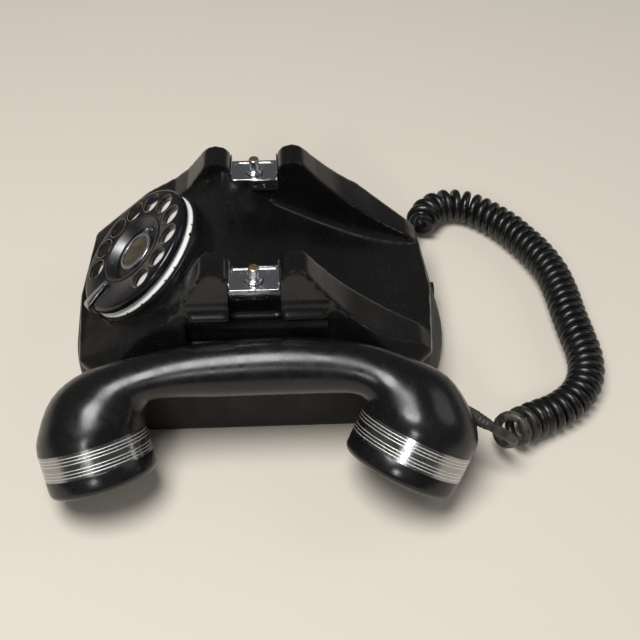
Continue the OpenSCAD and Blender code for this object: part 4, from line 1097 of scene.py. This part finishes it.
class PHONE_OT_dial_centre(bpy.types.Operator):
    """Makes the plated ring and the clip, and gives finishes to the card and the clear disc that the clip
    holds
    """
    bl_idname = "phone.dial_centre"
    bl_label = "Dial centre"

    def execute(self, context):
        ring = rounded([(DISH_R, WHEEL_TOP), (DISH_R + 0.6, WHEEL_TOP), (DISH_R + 0.6, WHEEL_TOP + 0.4, 0.25),
                        (DISH_R - 0.8, WHEEL_TOP + 0.4, 0.8), (DISH_FLOOR_R - 0.8, DISH_FLOOR + 0.4, 0.5),
                        (DISH_FLOOR_R - 0.8, DISH_FLOOR), (DISH_FLOOR_R, DISH_FLOOR)], 0.02, 4)
        ring = lathe(ring, steps=144)
        # The ring's very dark plate is painted shade.
        piece("plated_ring", ring, finish("ring"), "dial", ["center_ring"], AT_DIAL)
        bm = lathe(rounded([(CARD_R + 0.05, DISH_FLOOR), (CLIP_R, DISH_FLOOR), (CLIP_R, CLIP_TOP + 0.6, 0.6),
                            (CARD_R - 0.8, CLIP_TOP + 0.55, 0.3), (CARD_R - 0.8, CLIP_TOP),
                            (CARD_R + 0.05, CLIP_TOP)], 0.06, 4), steps=96)
        tip = DISH_FLOOR_R - 1.2
        outline = [(CARD_R + 1, -4.2), (14.6, -2.9), (tip, -3.5, 0.8)]
        outline += [(tip, 3.5, 0.8), (14.6, 2.9), (CARD_R + 1, 4.2)]
        tongue = plate(rounded(outline, 0.6), DISH_FLOOR, DISH_FLOOR + 0.9)
        slot = rounded([(13.6, -0.8), (16.4, -0.8), (16.4, 0.8), (13.6, 0.8)], 0.6)
        tongue = soften(cut(tongue, plate(slot, DISH_FLOOR + 0.3, DISH_FLOOR + 2)), 0.18, 40, 2)
        turn = Matrix.Rotation(TONGUE_TURN, 3, "Z")
        bmesh.ops.rotate(tongue, verts=tongue.verts, cent=(0, 0, 0), matrix=turn)
        bm = combine(bm, tongue, "UNION")
        piece("card_holder", bm, finish("worn_plate"), "dial", ["card_clip"], AT_DIAL)
        recolour("number_card", finish("card"))
        recolour("card_window", finish("window"))
        return {"FINISHED"}


class PHONE_OT_finger_stop(bpy.types.Operator):
    """Bends the finger stop from a tapering strip"""
    bl_idname = "phone.finger_stop"
    bl_label = "Finger stop"

    def execute(self, context):
        sizes = context.scene.phone_sizes
        rest, leg = STOP_REST, STOP_LEG
        foot = -DIAL_RISE - (leg + 2) * sin(sizes.stop_angle) * tan(DIAL_TIP) + 0.6
        strip = [(23.7, rest + 0.75, 1.0, 3.6), (26.5, rest + 0.4, 1.9, 2.7), (31, rest + 0.2, 2.6, 1.4),
                 (36, rest + 0.1, 3.4, 0.4), (40.1, rest + 0.1), (41.9, rest - 0.1), (42.9, rest - 1.0),
                 (leg, rest - 2.4), (leg, foot + 2.2), (leg + 0.1, foot + 0.6), (leg + 0.4, foot)]
        strip = [(*part, STOP_HALF_W, 0)[:4] for part in strip]
        bm = bmesh.new()
        r, z, w, s = strip[0]
        edge = bm.edges.new((bm.verts.new((r, s - w, z)), bm.verts.new((r, s + w, z))))
        for r, z, w, s in strip[1:]:
            made = bmesh.ops.extrude_edge_only(bm, edges=[edge])["geom"]
            ends = sorted((v for v in made if isinstance(v, bmesh.types.BMVert)), key=lambda v: v.co.y)
            ends[0].co, ends[1].co = Vector((r, s - w, z)), Vector((r, s + w, z))
            edge = next(e for e in made if isinstance(e, bmesh.types.BMEdge))
        bmesh.ops.recalc_face_normals(bm, faces=bm.faces)
        if sum(f.normal.z for f in bm.faces) < 0:
            bmesh.ops.reverse_faces(bm, faces=bm.faces)
        bmesh.ops.solidify(bm, geom=bm.faces[:], thickness=STOP_THICK)
        bmesh.ops.recalc_face_normals(bm, faces=bm.faces)
        sharp = [e for e in bm.edges if e.calc_face_angle(0) > radians(60)]
        bmesh.ops.bevel(bm, geom=sharp, offset=0.35, segments=3, profile=0.5, affect="EDGES",
                        clamp_overlap=True, material=-1)
        bmesh.ops.rotate(bm, verts=bm.verts, cent=(0, 0, 0), matrix=Matrix.Rotation(sizes.stop_angle, 3, "Z"))
        # The stop takes the band's darkened plate, which is painted shade.
        piece("stop_blade", bm, finish("band"), "base", ["finger_stop"], AT_DIAL, angle=50)
        return {"FINISHED"}


# ---------------------------------------------------------------- handset

def head_ring(head):
    """Where a head's shell meets its band, as outer and inner points and a half width."""
    y, tilt, r = head
    lean_y = -sin(tilt)
    mid = Vector((y + BAND_H * lean_y, head_up(tilt, r) + BAND_H * cos(tilt)))
    reach = Vector((cos(tilt), sin(tilt))) * r
    if y < 0:
        reach = -reach
    return (*(mid + reach), *(mid - reach), r)


SHELL_RINGS = [
    (-120, 52, -62, 65, 29), (-112, 73, -61, 69, 24.5), (-94, 87, -57, 72, 18.5), (-63, 96, -44, 73, 15),
    (-30, 102, -24, 73, 14), (15, 105, 15, 74, 14), (52, 102, 40, 74.5, 14.5), (80, 93.5, 50, 74.3, 17),
    (101, 83, 55, 72.5, 23), (114, 64, 56, 70, 29.5), (117.5, 49, 56, 68, 32),
]


class PHONE_OT_handset(bpy.types.Operator):
    """Moulds the handset's shell, and turns its caps and banded rings"""
    bl_idname = "phone.handset"
    bl_label = "Handset"

    def execute(self, context):
        rings = self.refine([head_ring(RECEIVER)] + SHELL_RINGS + [head_ring(TRANSMITTER)])
        bm = loft([self.ring_place(ring) for ring in rings], 64)
        for head, inner, depth in ((RECEIVER, 23.0, 28), (TRANSMITTER, 25.2, 26)):
            bm = cut(bm, rod(inner, -1, depth, AT_HANDSET.inverted() @ head_place(head), 64))
        piece("handset_shell", bm, finish("handset"), "handset", ["handset_body"],
              AT_HANDSET, 45)
        for name, head, holes in (("receiver", RECEIVER, [(0, 1), (5, 6)]),
                                  ("transmitter", TRANSMITTER, [(0, 1), (6, 6), (12, 12)])):
            place = head_place(head)
            piece(name + "_screw_cap", self.cap(head[2], holes), finish("handset"), "handset",
                  [name + "_cap"], place)
            # The band's plate and its grooves are a darker and a paler copy of one plating: painted shade and
            # painted highlight.
            piece(name + "_plated_band", self.band(head[2]), [finish("band"), finish("groove")], "handset",
                  [name + "_band"], place, 25)
            recolour(name + "_capsule", finish("can"))
        self.relief(context.scene.phone_sizes.cord_d / 2)
        return {"FINISHED"}

    def refine(self, rings):
        first = smooth_curve([r[:3] for r in rings], 4)
        second = smooth_curve([(r[3], r[4], 0) for r in rings], 4)
        return [(*a, *b[:2]) for a, b in zip(first, second)]

    def ring_place(self, ring):
        outer, inner = Vector((0, ring[0], ring[1])), Vector((0, ring[2], ring[3]))
        up = (outer - inner).normalized()
        place = Matrix((Vector((1, 0, 0)), up, Vector((1, 0, 0)).cross(up))).transposed().to_4x4()
        place.translation = (outer + inner) / 2
        return place, ring[4], (outer - inner).length / 2

    def cap(self, r, holes):
        wall, neck_r, low = 3.5, r - 1.4, -CAP_H
        arc = [(r - RIM_ROUND + RIM_ROUND * sin(radians(a)), -CAP_H + RIM_ROUND - RIM_ROUND * cos(radians(a)))
               for a in range(0, 91, 9)]
        profile = [(0, low)] + arc + [(r, -0.5), (r - 0.2, -0.1), (neck_r, 0), (neck_r, BAND_H),
                                      (neck_r - wall, BAND_H), (neck_r - wall, low + wall), (0, low + wall)]
        bm = lathe(profile, closed=False, steps=128)
        for ring, count in holes:
            for a in [2 * pi * i / count for i in range(count)]:
                place = at(ring * cos(a), ring * sin(a), 0)
                bm = cut(bm, rod(1.3, low - 2, low + wall + 2, place, 20))
        return soften(bm, 0.25, 60, 2, lambda co: co.z < low + 0.1)

    def band(self, r):
        """A plain ring with two sets of three fine grooves; the ring takes a darker copy of the plating, as
        painted shade, and the grooves a paler copy, as painted highlight.
        """
        first, step, wide, deep = 1.5, 1.75, 0.44, 0.2
        gap = BAND_H - 2 * first - 5 * step - 0.6
        outline = [(r - 1.4, 0), (r, 0)]
        for i in range(6):
            z = first + i * step + (i > 2) * gap
            floor = [(r - deep + 0.16 * abs(a) / 3, z + wide / 2 + 0.07 * a) for a in range(-2, 3)]
            outline += [(r, z), *floor, (r, z + wide)]
        outline += [(r, BAND_H), (r - 1.4, BAND_H)]
        bm = lathe(outline, steps=160)
        for face in bm.faces:
            middle = face.calc_center_median()
            grooved = middle.xy.length < r - 0.01 and first - 0.1 < middle.z < BAND_H - first + 0.1
            face.material_index = 1 if grooved else 0
        return bm

    def relief(self, cord_r):
        (y0, z0), (y1, z1) = RELIEF
        long = hypot(y1 - y0, z1 - z0)
        end_r, thick = cord_r + 0.15, RELIEF_R - 0.5
        outline = [(0, 0), (thick, 0), (thick, long * 0.48)]
        for i in range(4):
            z = long * (0.5 + 0.12 * i)
            r = thick - 0.22 * i
            outline += [(r, z), (r, z + 1.5), (r - 0.3, z + 1.7), (r - 0.3, z + 2.2)]
        outline += [(end_r, long), (0, long)]
        bm = lathe(outline, closed=False, steps=48)
        piece("handset_relief", bm, finish("old_rubber"), "handset", ["strain_relief"],
              relief_place())


# ---------------------------------------------------------------- cord

class PHONE_OT_cord(bpy.types.Operator):
    """Winds the coiled cord along its route from the housing to the handset"""
    bl_idname = "phone.cord"
    bl_label = "Coiled cord"

    def execute(self, context):
        sizes = context.scene.phone_sizes
        start = GLAND + Matrix.Rotation(GLAND_TURN, 3, "Z") @ Vector((GLAND_END + 0.2, 0, 0))
        outward = Matrix.Rotation(GLAND_TURN, 3, "Z") @ Vector((1, 0, 0))
        end = relief_place() @ Vector((0, 0, hypot(RELIEF[1][0] - RELIEF[0][0], RELIEF[1][1] - RELIEF[0][1])))
        inward = relief_place().to_3x3() @ Vector((0, 0, 1))
        line = self.wound(COIL_ROUTE, sizes)
        lead_in = self.bend(start, outward, line[0], line[0] - line[1])
        lead_out = self.bend(end, inward, line[-1], line[-1] - line[-2])[::-1]
        path = [p * MM for p in lead_in + line + lead_out]
        curve = bpy.data.curves.new("coiled_cord", "CURVE")
        curve.dimensions = "3D"
        curve.bevel_depth = sizes.cord_d / 2 * MM
        curve.bevel_resolution = 3
        spline = curve.splines.new("POLY")
        spline.points.add(len(path) - 1)
        spline.points.foreach_set("co", [c for p in path for c in (*p, 1)])
        mesh = curve_mesh("coiled_cord", curve)
        mesh.name = "coiled_cord"
        mesh.materials.clear()
        mesh.materials.append(finish("rubber"))
        mesh.shade_smooth()
        obj = new_object("coiled_cord", mesh)
        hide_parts("cord_lead_phone", "cord_coil", "cord_lead_handset")
        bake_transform(obj)
        return {"FINISHED"}

    def bend(self, a, a_way, b, b_way):
        """A curve that leaves both ends along their own directions."""
        reach = (b - a).length * 0.45
        a_hand, b_hand = a + a_way.normalized() * reach, b + b_way.normalized() * reach
        points = []
        for i in range(14):
            t = i / 14
            u = 1 - t
            points.append(u ** 3 * a + 3 * u * u * t * a_hand + 3 * u * t * t * b_hand + t ** 3 * b)
        return points

    def wound(self, route, sizes):
        """Points of the helix about a route; its turns lie looser at both ends."""
        centre = smooth_curve(route, 12)
        reach = [0.0]
        for a, b in zip(centre, centre[1:]):
            reach.append(reach[-1] + (b - a).length)
        whole = reach[-1]
        radius = (sizes.coil_d - sizes.cord_d) / 2
        side = Vector((0, 0, 1)).cross(centre[1] - centre[0]).normalized()
        out, k, s, i = [], 0, 0.0, 0
        while s < whole:
            while k < len(reach) - 2 and reach[k + 1] < s:
                k += 1
            t = (s - reach[k]) / (reach[k + 1] - reach[k])
            middle = centre[k].lerp(centre[k + 1], t)
            ahead = (centre[k + 1] - centre[k]).normalized()
            side = (side - ahead * side.dot(ahead)).normalized()
            up = ahead.cross(side)
            wind = 2 * pi * (i / TURN_POINTS + COIL_PHASE)
            near_end = min(s, whole - s) / sizes.pitch
            r = radius * min(1.0, 0.72 + 0.28 * near_end) * (1 + 0.015 * noise.noise(middle * 0.11))
            out.append(middle + side * r * cos(wind) + up * r * sin(wind))
            loose = sum(most * max(0.0, 1 - far / over)
                        for (most, over), far in zip(LOOSE_ENDS, (s, whole - s)))
            s += sizes.pitch * (1 + loose) / TURN_POINTS
            i += 1
        return out


# ---------------------------------------------------------------- mechanism inside

INSIDE = {
    "steel": ["hook_frame", "hook_axle", "hook_yoke", "dial_shaft", "dial_frame", "ringer_frame",
              "gong_screws", "clapper"],
    "brass": ["contact_pile", "main_gear", "pulse_cam", "pinion", "governor", "pulse_springs",
              "gong_left", "gong_right", "terminal_screws"],
    "spring": ["dial_spring"],
    "winding": ["ringer_coils", "induction_coil"],
    "can": ["capacitor"],
    "board": ["terminal_block"],
}


class PHONE_OT_mechanism(bpy.types.Operator):
    """Gives the hookswitch, dial works, ringer and terminals inside their finishes"""
    bl_idname = "phone.mechanism"
    bl_label = "Mechanism"

    def execute(self, context):
        for name, nodes in INSIDE.items():
            for node in nodes:
                recolour(node, finish(name))
        return {"FINISHED"}


# ---------------------------------------------------------------- stage, in metres and watts

LAMPS = (
    ("soft_box", (0.35, -0.25, 1.5), (0.02, 0.0, 0.05), 0.8, 23),
    ("front_fill", (1.35, -0.35, 1.15), (0.05, 0.02, 0.05), 0.3, 4),
    ("rear_fill", (-0.2, 1.3, 1.0), (0, 0, 0.05), 1.0, 2.5),
)
ROOM_COLOUR = (0.95, 0.97, 1.0, 1)
ROOM_LIGHT = 0.09
CAMERA_LENS = 61.9
CAMERA_PLACE = (0.4568, 0.0193, 0.5225)
CAMERA_AHEAD = (-0.669, 0.026, -0.743)


class PHONE_OT_stage(bpy.types.Operator):
    """Sets the table top, the soft lamps and the camera"""
    bl_idname = "phone.stage"
    bl_label = "Stage"

    def execute(self, context):
        scene = context.scene
        bm = bmesh.new()
        bmesh.ops.create_grid(bm, x_segments=1, y_segments=1, size=6)
        mesh = bpy.data.meshes.new("table_top")
        bm.to_mesh(mesh)
        bm.free()
        floor = bpy.data.objects.new("table_top", mesh)
        floor.location.z = -0.0001
        scene.collection.objects.link(floor)
        material, _, shader = finish_material("Table Top", scene.phone_colours.floor)
        shader.inputs["Roughness"].default_value = 0.85
        mesh.materials.append(material)
        for lamp in LAMPS:
            self.lamp(*lamp)
        world = bpy.data.worlds.new("Room")
        world.use_nodes = True
        light = world.node_tree.nodes["Background"].inputs
        light["Color"].default_value = ROOM_COLOUR
        light["Strength"].default_value = ROOM_LIGHT
        scene.world = world
        lens = bpy.data.cameras.new("camera")
        lens.lens = CAMERA_LENS
        lens.clip_start = 0.02
        camera = bpy.data.objects.new("camera", lens)
        camera.rotation_euler = Vector(CAMERA_AHEAD).to_track_quat("-Z", "Y").to_euler()
        camera.location = CAMERA_PLACE
        scene.collection.objects.link(camera)
        scene.camera = camera
        scene.view_settings.view_transform = "Standard"
        return {"FINISHED"}

    def lamp(self, name, place, target, size, power):
        data = bpy.data.lights.new(name, "AREA")
        data.shape = "DISK"
        data.size = size
        data.energy = power
        obj = bpy.data.objects.new(name, data)
        obj.location = place
        obj.rotation_euler = (Vector(target) - Vector(place)).to_track_quat("-Z", "Y").to_euler()
        bpy.context.scene.collection.objects.link(obj)


# ---------------------------------------------------------------- panel and registration

OPERATORS = (PHONE_OT_stage, PHONE_OT_cord, PHONE_OT_housing, PHONE_OT_base, PHONE_OT_cradle,
             PHONE_OT_number_plate, PHONE_OT_finger_wheel, PHONE_OT_dial_centre, PHONE_OT_finger_stop,
             PHONE_OT_handset, PHONE_OT_mechanism)


class PHONE_PT_panel(bpy.types.Panel):
    """Lists the telephone's sizes, colours and building steps"""
    bl_idname = "PHONE_PT_panel"
    bl_label = "Telephone"
    bl_space_type = "VIEW_3D"
    bl_region_type = "UI"
    bl_category = "Telephone"

    def draw(self, context):
        for group in (context.scene.phone_sizes, context.scene.phone_colours):
            box = self.layout.box()
            for name in group.bl_rna.properties.keys():
                if name not in ("rna_type", "name"):
                    box.prop(group, name)
        for operator in OPERATORS:
            self.layout.operator(operator.bl_idname)


CLASSES = (PhoneSizes, PhoneColours, *OPERATORS, PHONE_PT_panel)


def register():
    for cls in CLASSES:
        bpy.utils.register_class(cls)
    bpy.types.Scene.phone_sizes = PointerProperty(type=PhoneSizes)
    bpy.types.Scene.phone_colours = PointerProperty(type=PhoneColours)


def unregister():
    del bpy.types.Scene.phone_colours
    del bpy.types.Scene.phone_sizes
    for cls in reversed(CLASSES):
        bpy.utils.unregister_class(cls)


def main():
    register()
    for operator in OPERATORS:
        getattr(bpy.ops.phone, operator.bl_idname.split(".")[1])()


if __name__ == "__main__":
    main()
